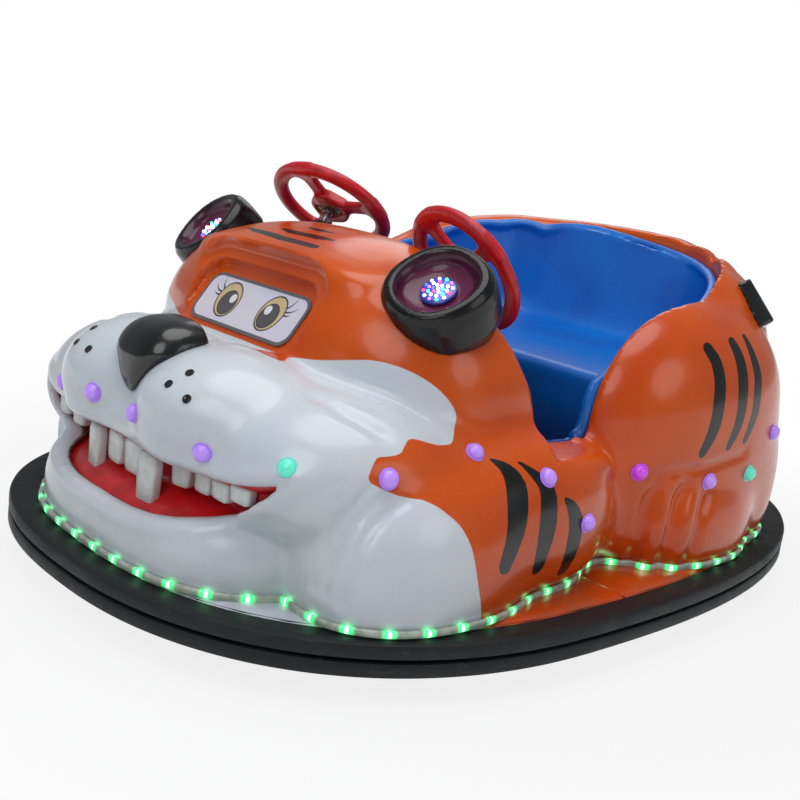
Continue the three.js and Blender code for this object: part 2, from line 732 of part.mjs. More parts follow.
function addBattery() {
  const lowZ = railBottomZ + tubeSize + floorThickness + 2 * gap;
  addPiece('battery_pack', toGeometry(boxSolid(-160, 90, lowZ, 160, 330, lowZ + 210)), 0x2a2d33);
}

addBumper();
addShells();
addTub();
addFace();
addTeeth();
addTailTip();
addEars();
addChassis();
addFrontWheel();
addRearWheels();
addSteering();
addBattery();

export default group;
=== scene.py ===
import math
import bpy
import numpy as np
from itertools import product
from mathutils import Matrix, Vector


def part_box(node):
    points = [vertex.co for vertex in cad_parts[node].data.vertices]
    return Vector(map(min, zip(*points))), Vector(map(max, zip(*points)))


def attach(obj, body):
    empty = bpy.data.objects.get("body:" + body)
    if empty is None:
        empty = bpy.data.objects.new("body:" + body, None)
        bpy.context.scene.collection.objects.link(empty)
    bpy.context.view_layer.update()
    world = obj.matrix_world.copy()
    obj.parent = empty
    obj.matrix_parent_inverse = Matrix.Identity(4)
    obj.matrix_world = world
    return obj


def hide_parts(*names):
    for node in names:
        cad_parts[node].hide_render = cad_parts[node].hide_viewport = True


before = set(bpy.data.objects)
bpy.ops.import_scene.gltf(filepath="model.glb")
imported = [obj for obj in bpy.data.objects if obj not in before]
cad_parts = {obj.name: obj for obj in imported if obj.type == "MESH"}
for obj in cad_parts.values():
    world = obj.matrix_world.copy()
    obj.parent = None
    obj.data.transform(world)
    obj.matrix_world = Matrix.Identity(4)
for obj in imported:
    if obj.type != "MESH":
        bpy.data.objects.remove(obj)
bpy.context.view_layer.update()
print("frame loaded:", len(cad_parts), "nodes")


view = {
    "place": (1.708, -1.774, 0.837),
    "right": (0.6585, 0.7411, 0.1296),
    "up": (-0.2472, 0.0505, 0.9675),
    "lens": 53.49,
}


def makeCamera():
    camera = bpy.data.objects.new("camera", bpy.data.cameras.new("camera"))
    bpy.context.scene.collection.objects.link(camera)
    right = Vector(view["right"]).normalized()
    up = Vector(view["up"])
    up = (up - right * up.dot(right)).normalized()
    back = right.cross(up)
    turn = Matrix((right, up, back)).transposed().to_4x4()
    camera.matrix_world = Matrix.Translation(view["place"]) @ turn
    camera.data.lens = view["lens"]
    camera.data.sensor_width = 36
    bpy.context.scene.camera = camera


makeCamera()


class Sock:
    # a socket that takes part in sums; each sum adds its Math node
    def __init__(self, finish, socket):
        self.finish = finish
        self.socket = socket

    def sum(self, operation, a, b):
        return self.finish.node("ShaderNodeMath", {"operation": operation}, {0: a, 1: b})

    def __add__(self, other):
        return self.sum("ADD", self, other)

    def __radd__(self, other):
        return self.sum("ADD", other, self)

    def __sub__(self, other):
        return self.sum("SUBTRACT", self, other)

    def __rsub__(self, other):
        return self.sum("SUBTRACT", other, self)

    def __mul__(self, other):
        return self.sum("MULTIPLY", self, other)

    def __rmul__(self, other):
        return self.sum("MULTIPLY", other, self)

    def __truediv__(self, other):
        return self.sum("DIVIDE", self, other)

    def __pow__(self, other):
        return self.sum("POWER", self, other)

    def __abs__(self):
        return self.sum("ABSOLUTE", self, 0.0)

    def least(self, other):
        return self.sum("MINIMUM", self, other)

    def most(self, other):
        return self.sum("MAXIMUM", self, other)


class Finish:
    def __init__(self, name, owner=None):
        self.material = owner or bpy.data.materials.new(name)
        self.material.use_nodes = True
        self.tree = self.material.node_tree
        self.tree.nodes.clear()
        self.place = None

    def node(self, kind, settings=None, sockets=None, out=0):
        # any node; out is the output wanted, or a tuple of outputs
        made = self.tree.nodes.new(kind)
        for name, value in (settings or {}).items():
            if name == "stops":
                self.setStops(made.color_ramp, value)
            else:
                setattr(made, name, value)
        for name, value in (sockets or {}).items():
            self.feed(made.inputs[name], value)
        if isinstance(out, tuple):
            return [Sock(self, made.outputs[one]) for one in out]
        return Sock(self, made.outputs[out])

    def feed(self, socket, value):
        if isinstance(value, Sock):
            self.tree.links.new(value.socket, socket)
        else:
            socket.default_value = value

    def setStops(self, ramp, stops):
        # every ramp here changes colour in sharp steps
        ramp.interpolation = "CONSTANT"
        while len(ramp.elements) < len(stops):
            ramp.elements.new(0.5)
        for element, (at, colour) in zip(ramp.elements, stops):
            element.position = at
            element.color = colour

    def position(self):
        if self.place is None:
            self.place = self.node("ShaderNodeTexCoord", out="Object")
        return self.place

    def axes(self):
        return self.node("ShaderNodeSeparateXYZ", None, {0: self.position()}, (0, 1, 2))

    def value(self, name):
        return self.node("ShaderNodeAttribute", {"attribute_name": name}, out="Fac")

    def noise(self, scale, detail=3.0, rough=0.5, stretch=None):
        place = self.position()
        if stretch:
            place = self.node("ShaderNodeVectorMath", {"operation": "MULTIPLY"}, {0: place, 1: stretch})
        sockets = {"Vector": place, "Scale": scale, "Detail": detail, "Roughness": rough}
        return self.node("ShaderNodeTexNoise", None, sockets)

    def ease(self, value, low, high, start=0.0, end=1.0):
        sockets = {0: value, 1: low, 2: high, 3: start, 4: end}
        return self.node("ShaderNodeMapRange", {"interpolation_type": "SMOOTHSTEP"}, sockets)

    def mix(self, factor, a, b, blend="MIX"):
        settings = {"data_type": "RGBA", "blend_type": blend}
        return self.node("ShaderNodeMix", settings, {0: factor, 6: a, 7: b}, out=2)

    def bump(self, height, distance, strength=1.0):
        return self.node("ShaderNodeBump", None, {"Height": height, "Distance": distance,
                                                  "Strength": strength})

    def shader(self, **sockets):
        named = {name.replace("_", " "): value for name, value in sockets.items()}
        return self.finish(self.node("ShaderNodeBsdfPrincipled", None, named))

    def finish(self, surface, kind="ShaderNodeOutputMaterial"):
        self.node(kind, None, {"Surface": surface}, ())
        return self.material


def paint(red, green, blue):
    # display colour 0 to 255 to the linear one that a socket takes
    parts = [c / 255 for c in (red, green, blue)]
    linear = [c / 12.92 if c <= 0.04045 else ((c + 0.055) / 1.055) ** 2.4 for c in parts]
    return (*linear, 1.0)


body = {  # rounded forms: centre, half sizes, squareness, how softly each joins the ones before it
    "middle": [
        ((0, -0.33, 0.38), (0.43, 0.265, 0.275), 2.6, 0.03),
        ((0, -0.6, 0.3), (0.25, 0.19, 0.15), 2.2, 0.02),
        ((0, -0.49, 0.583), (0.24, 0.06, 0.04), 2.4, 0.05),
        ((0, -0.56, 0.14), (0.35, 0.28, 0.12), 2.9, 0.04),
        ((0, -0.06, 0.19), (0.47, 0.42, 0.112), 3.6, 0.05),
        ((0, 0.4, 0.33), (0.362, 0.385, 0.36), 3.0, 0.03),
    ],
    "sides": [
        ((0.128, -0.655, 0.352), (0.16, 0.165, 0.113), 2.1, 0.03),
        ((0.262, -0.53, 0.302), (0.215, 0.235, 0.138), 2.2, 0.045),
        ((0.395, -0.47, 0.16), (0.155, 0.215, 0.19), 2.3, 0.03),
        ((0.395, -0.265, 0.23), (0.145, 0.228, 0.15), 2.4, 0.06),
        ((0.37, 0.22, 0.35), (0.16, 0.3, 0.25), 2.3, 0.06),
        ((0.435, 0.205, 0.165), (0.112, 0.2, 0.12), 2.3, 0.055),
        ((0.275, 0.395, 0.22), (0.22, 0.22, 0.24), 2.3, 0.06),
        ((0.312, 0.34, 0.515), (0.122, 0.172, 0.148), 2.0, 0.05),
        ((0.47, -0.16, 0.318), (0.036, 0.075, 0.026), 2.0, 0.03),
    ],
    "tail": [
        ((0.09, 0.52, 0.636), (0.075, 0.056, 0.048), 2.0, 0.03),
        ((0.185, 0.47, 0.64), (0.076, 0.056, 0.046), 2.0, 0.03),
        ((0.275, 0.405, 0.628), (0.074, 0.056, 0.048), 2.0, 0.03),
        ((-0.12, 0.5, 0.634), (0.13, 0.05, 0.044), 2.0, 0.03),
        ((-0.27, 0.42, 0.624), (0.075, 0.055, 0.048), 2.0, 0.03),
    ],
    "wall": 0.012,
    "rearExtra": 0.006,  # the wall behind the seam is this much thicker
    "footZ": 0.0935,
    "ledgeFootZ": 0.0885,
    "seam": -0.1,
    "seamGap": 0.0006,
    "ledgeTop": 0.1053,
    "cells": {-1: 0.0064, 1: 0.0072},  # ahead of and behind the seam
}

creases = [  # lines pressed into both sides: points, depth, width
    ([(0.465, -0.669, 0.148), (0.468, -0.666, 0.19), (0.472, -0.653, 0.233), (0.474, -0.631, 0.269),
      (0.48, -0.602, 0.294), (0.483, -0.581, 0.305)], 0.007, 0.008),
    ([(0.437, -0.68, 0.156), (0.44, -0.675, 0.208), (0.453, -0.652, 0.267), (0.463, -0.632, 0.295),
      (0.469, -0.608, 0.315)], 0.006, 0.008),
    ([(0.415, -0.684, 0.158), (0.442, -0.666, 0.275), (0.459, -0.633, 0.322)], 0.005, 0.008),
    ([(0.21, -0.6, 0.485), (0.29, -0.564, 0.446), (0.35, -0.533, 0.434), (0.4, -0.499, 0.415),
      (0.46, -0.47, 0.4)], 0.011, 0.022),
    ([(0.25, -0.655, 0.465), (0.32, -0.635, 0.428), (0.375, -0.625, 0.414), (0.42, -0.597, 0.396),
      (0.465, -0.57, 0.4)],
     0.008, 0.012),
    ([(0.494, 0.02, 0.285), (0.508, 0.054, 0.294), (0.52, 0.105, 0.298), (0.527, 0.159, 0.304),
      (0.529, 0.218, 0.311), (0.528, 0.273, 0.318)], 0.008, 0.012),
]

toes = [
    ([(0.52, 0.0, 0.1), (0.52, 0.004, 0.15), (0.515, 0.012, 0.2), (0.505, 0.026, 0.24),
      (0.505, 0.043, 0.268)], 0.016, 0.013),
    ([(0.54, 0.062, 0.1), (0.54, 0.066, 0.15), (0.535, 0.074, 0.2), (0.525, 0.088, 0.24),
      (0.52, 0.104, 0.264)], 0.016, 0.013),
    ([(0.545, 0.13, 0.12), (0.545, 0.135, 0.17), (0.54, 0.147, 0.22), (0.53, 0.165, 0.25)], 0.01, 0.014),
]

ring = {"halfWidth": 0.625, "front": -0.895, "rear": 0.895, "widest": -0.226, "frontPower": 2.35,
        "rearPower": 2.36}
cockpit = {"halfWidth": 0.405, "front": -0.3, "rear": 0.52, "widest": 0.11, "frontPower": 7.0,
           "rearPower": 2.3}
door = [(-0.258, 0.344), (-0.246, 0.375), (-0.247, 0.41), (-0.262, 0.446), (-0.284, 0.481), (-0.306, 0.522),
        (-0.345, 0.59), (-0.345, 0.9), (0.2, 0.9), (-0.07, 0.44), (-0.098, 0.402), (-0.104, 0.36),
        (-0.12, 0.344)]
mouth = {"corner": (0.395, 0.322), "top": (0.296, 0.292, 0.268), "bottom": (0.19, 0.187, 0.19), "steps": 9}
panel = {"centre": (0, -0.557, 0.505), "tilt": 36, "halfWidth": 0.15, "halfHeight": 0.051}
brow = {"inner": 0.022, "outer": 0.046, "step": 0.019, "radius": 0.055, "lift": 0.012}


def softMin(a, b, k):
    h = np.maximum(k - np.abs(a - b), 0) / k
    return np.minimum(a, b) - h * h * h * k / 6


def softMax(a, b, k):
    return -softMin(-a, -b, k)


def formField(p, centre, radii, power):
    a = [np.abs(p[:, i] - centre[i]) / radii[i] + 1e-6 for i in range(3)]
    q = [x ** (power - 1) for x in a]
    total = sum(x * y for x, y in zip(q, a))
    slope = np.sqrt(sum((x / r) ** 2 for x, r in zip(q, radii)))
    gauge = total ** (1 / power)
    return (gauge - 1) * gauge ** (power - 1) / slope


def strokeField(p, path, radii):
    # distance to a line of points, less a radius that changes along it
    best = np.full(len(p), 9.0)
    for a, b, ra, rb in zip(path, path[1:], radii, radii[1:]):
        a, d = np.array(a), np.array(b) - np.array(a)
        t = np.clip((p - a) @ d / (d @ d), 0, 1)
        best = np.minimum(best, np.linalg.norm(p - a - t[:, None] * d, axis=1) - ra - (rb - ra) * t)
    return best


def polygonField(u, v, outline):
    best = np.full(len(u), 9.0)
    inside = np.zeros(len(u), bool)
    for (a, b), (c, d) in zip(outline, outline[1:] + outline[:1]):
        e, g = c - a, d - b
        t = np.clip(((u - a) * e + (v - b) * g) / (e * e + g * g), 0, 1)
        best = np.minimum(best, (u - a - t * e) ** 2 + (v - b - t * g) ** 2)
        if g != 0:
            inside ^= ((b > v) != (d > v)) & (u < e * (v - b) / g + a)
    return np.where(inside, -1, 1) * np.sqrt(best)


def outlineField(p, shape, inset):
    y = p[:, 1] - shape["widest"]
    reach = np.where(y < 0, shape["widest"] - shape["front"], shape["rear"] - shape["widest"]) - inset
    power = np.where(y < 0, shape["frontPower"], shape["rearPower"])
    wide = shape["halfWidth"] - inset
    a, b = np.abs(p[:, 0]) / wide + 1e-6, np.abs(y) / reach + 1e-6
    total = a ** power + b ** power
    slope = np.sqrt((a ** (power - 1) / wide) ** 2 + (b ** (power - 1) / reach) ** 2)
    gauge = total ** (1 / power)
    return (gauge - 1) * gauge ** (power - 1) / slope


def bezier(points, steps):
    made = []
    for i in range(steps):
        t = i / steps
        s = 1 - t
        weights = (s ** 3, 3 * s * s * t, 3 * s * t * t, t ** 3)
        made.append(tuple(sum(w * point[k] for w, point in zip(weights, points)) for k in range(2)))
    return made


def mouthOutline():
    x, z = mouth["corner"]
    half = []
    for word in ("bottom", "top"):
        a, b, c = mouth[word]
        half.append(bezier([(0, a), (0.35 * x, b), ((0.75 if word == "bottom" else 0.6) * x, c), (x, z)],
                           mouth["steps"]))
    low, high = half
    right = low + [(x, z)] + high[::-1]
    return right + [(-u, v) for u, v in right[::-1]][1:-1]


mouthLine = mouthOutline()


def mouthField(p):
    field = np.full(len(p), 0.5)
    near = (p[:, 1] < -0.4) & (p[:, 2] < 0.4)
    field[near] = polygonField(p[near, 0], p[near, 2], mouthLine)
    return np.maximum(field, p[:, 1] + 0.44)


def panelAxes(p):
    # across the panel, up it and out from it
    tilt = math.radians(panel["tilt"])
    off = p - np.array(panel["centre"])
    up = off[:, 1] * math.sin(tilt) + off[:, 2] * math.cos(tilt)
    out = -off[:, 1] * math.cos(tilt) + off[:, 2] * math.sin(tilt)
    return off[:, 0], up, out


def roundedBox2(u, v, halfU, halfV, radius):
    a, b = np.abs(u) - halfU + radius, np.abs(v) - halfV + radius
    return np.hypot(np.maximum(a, 0), np.maximum(b, 0)) + np.minimum(np.maximum(a, b), 0) - radius


def recessField(p):
    # pocket round the panel, and a wider shallow step above it
    u, v, n = panelAxes(p)
    pocket = roundedBox2(u, v, panel["halfWidth"] + brow["inner"], panel["halfHeight"] + brow["inner"],
                         brow["radius"])
    pocket = softMax(pocket - 0.12 * n, -n - 0.0003, 0.006)
    ledge = roundedBox2(u, v - brow["lift"], panel["halfWidth"] + brow["outer"],
                        panel["halfHeight"] + brow["outer"] - brow["lift"], brow["radius"] + 0.02)
    ledge = softMax((ledge - 0.35 * (n - brow["step"])) * 0.94, brow["step"] - n, 0.007)
    return softMin(pocket, ledge, 0.005)


def rimHeight(y):
    return 0.676 - 0.47 * np.maximum(0.5 - y, 0) ** 1.6


def rimField(p):
    # rounded edge that carries the far half of the cockpit rim
    field = np.full(len(p), 0.5)
    near = (p[:, 1] > 0.08) & (p[:, 2] > 0.45) & (p[:, 0] < 0.22)
    q = p[near]
    size = np.clip(0.03 - 0.14 * np.maximum(q[:, 0] - 0.02, 0) - 0.15 * np.maximum(0.22 - q[:, 1], 0), 0.0,
                   0.03)
    field[near] = np.hypot(outlineField(q, cockpit, -0.031), q[:, 2] - rimHeight(q[:, 1]) + 0.023) - size
    return field


def plainBody(p):
    half = p.copy()
    half[:, 0] = np.abs(half[:, 0])
    field = None
    for centre, radii, power, soft in body["middle"] + body["sides"]:
        one = formField(half, centre, radii, power)
        field = one if field is None else softMin(field, one, soft)
    for centre, radii, power, soft in body["tail"]:
        field = softMin(field, formField(p, centre, radii, power), soft)
    return softMin(field, rimField(p), 0.05)


def settled(path):
    # points brought onto the plain body
    spots = np.array(path, float)
    for _ in range(8):
        spots -= plainBody(spots)[:, None] * slopeOf(plainBody, spots)
    return [tuple(spot) for spot in spots]


def addToes():
    for path, depth, width in toes:
        creases.append((settled(path), depth, width))


def creaseDepth(p, spread=1.0):
    half = p.copy()
    half[:, 0] = np.abs(half[:, 0])
    total = np.zeros(len(p))
    for path, depth, width in creases:
        reach = width * spread
        low, high = np.min(path, 0) - 3 * reach, np.max(path, 0) + 3 * reach
        near = np.all((half > low) & (half < high), axis=1)
        if near.any():
            away = strokeField(half[near], path, [0.0] * len(path))
            total[near] += depth * np.exp(-(away / reach) ** 2)
    return total


def bodyField(p):
    return softMax(plainBody(p) + creaseDepth(p), -recessField(p), 0.006)


def backField(p):
    # like the body, with creases wide enough for the wall behind them to keep its thickness
    return softMax(plainBody(p) + creaseDepth(p, 3.0), -recessField(p), 0.006)


def doorField(p):
    profile = polygonField(p[:, 1], p[:, 2], door)
    return np.maximum(profile, 0.325 - np.abs(p[:, 0]))


ear = {  # left and right are set a little differently
    "centre": (0.34, -0.44, 0.613), "base": 0.1, "coreRadius": 0.074, "coreDepth": 0.043, "cell": 0.004,
    "aims": {1: (0.21, -0.6, 0.77), -1: (-0.17, -0.73, 0.66)},
    "scale": {1: 1.0, -1: 0.93},
}
earProfile = [(0.0, -ear["base"]), (0.08, -ear["base"]), (0.093, -0.07), (0.0935, -0.03), (0.0905, -0.008),
              (0.083, 0.003), (0.073, 0.0035), (0.067, -0.003), (0.0615, -0.016), (0.049, -0.0225),
              (0.036, -0.025),
              (0.0, -0.025)]


def earAxes(p, side):
    centre = np.array((side * ear["centre"][0], ear["centre"][1], ear["centre"][2]))
    local = (p - centre) @ aimTurn(ear["aims"][side]) / ear["scale"][side]
    return local[:, 0], local[:, 1], local[:, 2]


def trimmedField(p, outer):
    # body less the cockpit and the door notches, softer where the hood ends
    front = 0.014 + 0.04 * np.clip((-0.2 - p[:, 1]) / 0.1, 0, 1)
    trimmed = softMax(outer, -outlineField(p, cockpit, 0.0), front)
    return softMax(trimmed, -doorField(p), 0.012)


def earCore(p, side):
    # room inside an ear cup
    a, t, b = earAxes(p, side)
    return np.maximum(np.hypot(a, b) - ear["coreRadius"], -t - ear["coreDepth"])


def shellField(p):
    outer = bodyField(p)
    thick = body["wall"] + body["rearExtra"] * np.clip((p[:, 1] - body["seam"]) / 0.04, 0, 1)
    skin = np.maximum(trimmedField(p, outer), -(trimmedField(p, backField(p)) + thick))
    skin = np.maximum(skin, -(outer + 0.06))
    # the ledge dips into the bumper's inner face
    dip = 0.6 * np.clip(outlineField(p, ring, 0.066), 0, 0.0125)
    ledge = np.maximum(outlineField(p, ring, 0.046), p[:, 2] - body["ledgeTop"] + dip)
    ledge = np.maximum(ledge, -(outer + body["wall"]))
    ledge = np.maximum(ledge, body["ledgeFootZ"] - p[:, 2])
    field = softMin(np.maximum(skin, body["footZ"] - p[:, 2]), ledge, 0.014)
    field = softMax(field, -mouthField(p), 0.01)
    field = np.maximum(field, -np.minimum(earCore(p, 1), earCore(p, -1)) + 0.0004)
    lip = np.hypot(mouthField(p) - 0.0065, outer + 0.0065) - 0.0095
    return softMin(field, lip, 0.028)


def surfaceOf(field, low, high, cell, settle=2):
    # net of four-sided faces on the zero of a field, worked out only near it
    low = np.array(low, float)
    blocks = np.ceil((np.array(high) - low) / (4 * cell)).astype(int)
    size = blocks * 4 + 1
    coarse = np.stack(np.meshgrid(*[np.arange(n + 1) * 4 for n in blocks], indexing="ij"), -1).reshape(-1, 3)
    values = field(low + coarse * cell).reshape(blocks + 1)
    corners = [values[i:i + blocks[0], j:j + blocks[1], k:k + blocks[2]]
               for i, j, k in product((0, 1), repeat=3)]
    active = np.min(np.abs(corners), axis=0) < 8.5 * cell
    full = np.ones(size)
    full[:-1, :-1, :-1] = np.repeat(np.repeat(np.repeat(values[:-1, :-1, :-1], 4, 0), 4, 1), 4, 2)
    near = np.zeros(size, bool)
    fine = np.repeat(np.repeat(np.repeat(active, 4, 0), 4, 1), 4, 2)
    for i, j, k in product((0, 1), repeat=3):
        near[i:i + fine.shape[0], j:j + fine.shape[1], k:k + fine.shape[2]] |= fine
    spots = np.argwhere(near)
    for start in range(0, len(spots), 300000):
        part = spots[start:start + 300000]
        full[tuple(part.T)] = field(low + part * cell)
    inside = full < 0
    cells = size - 1
    kinds = [inside[i:i + cells[0], j:j + cells[1], k:k + cells[2]] for i, j, k in product((0, 1), repeat=3)]
    mixed = np.logical_or.reduce(kinds) & ~np.logical_and.reduce(kinds)
    found = np.argwhere(mixed)
    total, hits = np.zeros((len(found), 3)), np.zeros(len(found))
    for corner in product((0, 1), repeat=3):
        for axis in range(3):
            if corner[axis]:
                continue
            end = list(corner)
            end[axis] = 1
            a = full[tuple((found + corner).T)]
            b = full[tuple((found + end).T)]
            cross = (a < 0) != (b < 0)
            point = np.tile(np.array(corner, float), (cross.sum(), 1))
            point[:, axis] += a[cross] / (a[cross] - b[cross])
            total[cross] += point
            hits[cross] += 1
    points = low + (found + total / hits[:, None]) * cell
    index = np.full(cells, -1, np.int64)
    index[tuple(found.T)] = np.arange(len(found))
    faces = []
    for axis in range(3):
        b, c = [np.eye(3, dtype=int)[(axis + s) % 3] for s in (1, 2)]
        step = np.eye(3, dtype=int)[axis]
        a = inside[tuple(slice(1 if not step[i] else 0, size[i] - 1) for i in range(3))]
        other = inside[tuple(slice(1, size[i]) if step[i] else slice(1, size[i] - 1) for i in range(3))]
        at = np.argwhere(a != other) + (1 - step)
        flip = inside[tuple(at.T)]
        quad = np.stack([index[tuple((at - b - c).T)], index[tuple((at - c).T)], index[tuple(at.T)],
                         index[tuple((at - b).T)]], -1)
        quad[~flip] = quad[~flip][:, ::-1]
        faces.append(quad)
    faces = np.concatenate(faces)
    for _ in range(settle):
        points -= pull(field, points, cell)
    return points, faces


def pull(field, points, cell):
    # step that brings points onto the zero of a field
    here = field(points)
    reach = cell * 0.05
    slope = np.stack([(field(points + reach * np.eye(3)[i]) - here) / reach for i in range(3)], -1)
    move = here[:, None] * slope / np.maximum((slope ** 2).sum(1), 0.05)[:, None]
    length = np.linalg.norm(move, axis=1)
    return move * np.minimum(1, 0.6 * cell / np.maximum(length, 1e-9))[:, None]


def slopeOf(field, points, reach=0.002):
    steps = reach * np.eye(3)
    slope = np.stack([field(points + step) - field(points - step) for step in steps], -1)
    return slope / np.linalg.norm(slope, axis=1)[:, None]


def onBody(points, lift=0.0):
    # nearest spots on the body, and the way out from them
    spots = np.array(points, float)
    for _ in range(8):
        spots -= bodyField(spots)[:, None] * slopeOf(bodyField, spots)
    out = slopeOf(bodyField, spots)
    return spots + lift * out, out


def makePiece(name, points, faces, material, rides, replaced=(), values=None, sharp=38):
    mesh = bpy.data.meshes.new(name)
    mesh.from_pydata([tuple(map(float, p)) for p in points], [], [tuple(map(int, f)) for f in faces])
    mesh.validate()
    mesh.polygons.foreach_set("use_smooth", [True] * len(mesh.polygons))
    for key, numbers in (values or {}).items():
        mesh.attributes.new(key, "FLOAT", "POINT").data.foreach_set("value", np.asarray(numbers, np.float32))
    if sharp:
        mesh.set_sharp_from_angle(angle=math.radians(sharp))
    mesh.materials.append(material)
    piece = bpy.data.objects.new(name, mesh)
    bpy.context.scene.collection.objects.link(piece)
    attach(piece, rides)
    if replaced:
        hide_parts(*replaced)
    print("piece", name, len(mesh.polygons), "faces")
    return piece


def turned(profile, count=48, closed=False):
    # profile of (radius, height) turned about the local Y axis
    points, faces = [], []
    for i in range(count):
        angle = 2 * math.pi * i / count
        points += [(r * math.cos(angle), h, -r * math.sin(angle)) for r, h in profile]
    rows = len(profile)
    for i in range(count):
        for j in range(rows if closed else rows - 1):
            a, b = i * rows + j, i * rows + (j + 1) % rows
            c, d = ((i + 1) % count) * rows + (j + 1) % rows, ((i + 1) % count) * rows + j
            faces.append((a, d, c, b))
    if not closed:
        for row, turn in ((0, 1), (rows - 1, -1)):
            faces.append(tuple(i * rows + row for i in range(count))[::turn])
    return np.array(points), faces


def rounded(corners, radius, steps=3):
    # closed or open profile with its inner corners rounded
    made = []
    for i, corner in enumerate(corners):
        if i in (0, len(corners) - 1):
            made.append(corner)
            continue
        here = np.array(corner)
        before, after = np.array(corners[i - 1]) - here, np.array(corners[i + 1]) - here
        a, b = np.linalg.norm(before), np.linalg.norm(after)
        cut = min(radius, a * 0.45, b * 0.45)
        start, end = here + before / a * cut, here + after / b * cut
        for k in range(steps + 1):
            t = k / steps
            made.append(tuple((1 - t) ** 2 * start + 2 * t * (1 - t) * here + t * t * end))
    return made


def aimTurn(aim):
    return np.array(Vector((0, 1, 0)).rotation_difference(Vector(aim).normalized()).to_matrix())


def placed(points, at, aim):
    return np.asarray(points) @ aimTurn(aim).T + np.array(at)


def joined(parts):
    points, faces, start = [], [], 0
    for some, quads in parts:
        points.append(np.asarray(some, float))
        faces += [tuple(int(i) + start for i in face) for face in quads]
        start += len(some)
    return np.concatenate(points), faces


def swept(path, profile):
    # closed path of flat points; profile of (inwards, height)
    path = np.asarray(path)
    ahead = np.roll(path, -1, 0) - np.roll(path, 1, 0)
    ahead /= np.linalg.norm(ahead, axis=1)[:, None]
    inward = np.stack([-ahead[:, 1], ahead[:, 0]], -1)
    rows = len(profile)
    points = [(*(path[i] + inward[i] * d), z) for i in range(len(path)) for d, z in profile]
    faces = []
    for i in range(len(path)):
        n = (i + 1) % len(path)
        for j in range(rows):
            k = (j + 1) % rows
            faces.append((i * rows + j, n * rows + j, n * rows + k, i * rows + k))
    return points, faces


def evenly(path, spacing):
    # closed path again, with evenly spaced points
    path = np.asarray(path)
    loop = np.vstack([path, path[:1]])
    along = np.concatenate([[0], np.cumsum(np.linalg.norm(np.diff(loop, axis=0), axis=1))])
    count = int(round(along[-1] / spacing))
    at = np.arange(count) * along[-1] / count
    return np.stack([np.interp(at, along, loop[:, k]) for k in range(2)], -1), along[-1] / count


def shellFinish():
    look = Finish("gel coat body")
    white, orange, black = paint(212, 219, 226), paint(214, 84, 0), paint(5, 5, 6)
    cloud = look.noise(5.0, 2.0)
    orange = look.mix(look.ease(cloud, 0.35, 0.7), orange, paint(200, 70, 0))
    white = look.mix(look.ease(cloud, 0.35, 0.7), white, paint(203, 211, 220))
    wave = look.noise(60.0, 2.0) * 0.0008
    colour = look.mix(look.ease(look.value("whiteZone") + wave, -0.0007, 0.0007, 1.0, 0.0), orange, white)
    fade = look.noise(90.0, 3.0)
    stripe = look.mix(look.ease(fade, 0.45, 0.75), black, paint(18, 16, 15))
    colour = look.mix(look.ease(look.value("stripeZone") + wave, -0.0008, 0.0008, 1.0, 0.0), colour, stripe)
    dust = look.noise(14.0, 5.0, 0.6)
    z = look.axes()[2]
    grime = look.ease(z, 0.104, 0.15, 0.35, 0.0) * look.ease(dust, 0.4, 0.7)
    colour = look.mix(grime, colour, paint(120, 96, 74))
    speck = look.ease(look.noise(420.0, 2.0), 0.72, 0.78, 0.0, 0.35)
    colour = look.mix(speck, colour, paint(120, 90, 70))
    peel = look.noise(220.0, 1.0) * 0.35 + look.noise(18.0, 2.0)
    behind = look.ease(look.value("inside"), 0.7, 0.95)
    mat = look.mix(look.ease(look.noise(150.0, 4.0), 0.4, 0.6), paint(112, 108, 92), paint(88, 84, 70))
    colour = look.mix(behind, colour, mat)
    return look.shader(Base_Color=colour, Roughness=look.ease(dust, 0.3, 0.8, 0.2, 0.34) + behind * 0.4,
                       Normal=look.bump(peel, 0.0011, 0.35), Coat_Weight=0.25, Coat_Roughness=0.08,
                       Specular_IOR_Level=0.4)


def plainFinish(name, main, second, rough=(0.3, 0.45), scale=20.0, bump=(200.0, 0.0004), coat=0.0, metal=0.0,
                stretch=None, worn=None):
    look = Finish(name)
    cloud = look.noise(scale, 4.0, 0.6, stretch)
    colour = look.mix(look.ease(cloud, 0.35, 0.68), main, second)
    if worn:
        mark = look.ease(look.noise(scale * 3.1, 6.0, 0.7), 0.62, 0.7)
        colour = look.mix(mark * 0.8, colour, worn)
    return look.shader(Base_Color=colour, Roughness=look.ease(cloud, 0.3, 0.7, *rough), Metallic=metal,
                       Normal=look.bump(look.noise(bump[0], 2.0), bump[1], 0.6), Coat_Weight=coat,
                       Coat_Roughness=0.08)


def glowFinish(name, tints, strength, paintedShadeTint=paint(120, 30, 200)):
    # lit plastic whose colour is picked by a number on each lamp; painted shade darkens the lower part of
    # each lamp by its height number
    look = Finish(name)
    tint = look.value("tint")
    stops = [(i / len(tints), colour) for i, colour in enumerate(tints)]
    colour = look.node("ShaderNodeValToRGB", {"stops": stops}, {0: (tint + 0.5) / len(tints)})
    # painted shade: the lower on the lamp, the nearer the colour comes to the dark tint
    paintedShade = look.ease(look.value("height"), 0.0, 1.0, 0.55, 1.0)
    bright = look.mix(paintedShade, paintedShadeTint, colour)
    return look.shader(Base_Color=bright, Roughness=0.28, Emission_Color=colour, Emission_Strength=strength,
                       Normal=look.bump(look.noise(300.0, 1.0), 0.0003, 0.4), Coat_Weight=0.4)


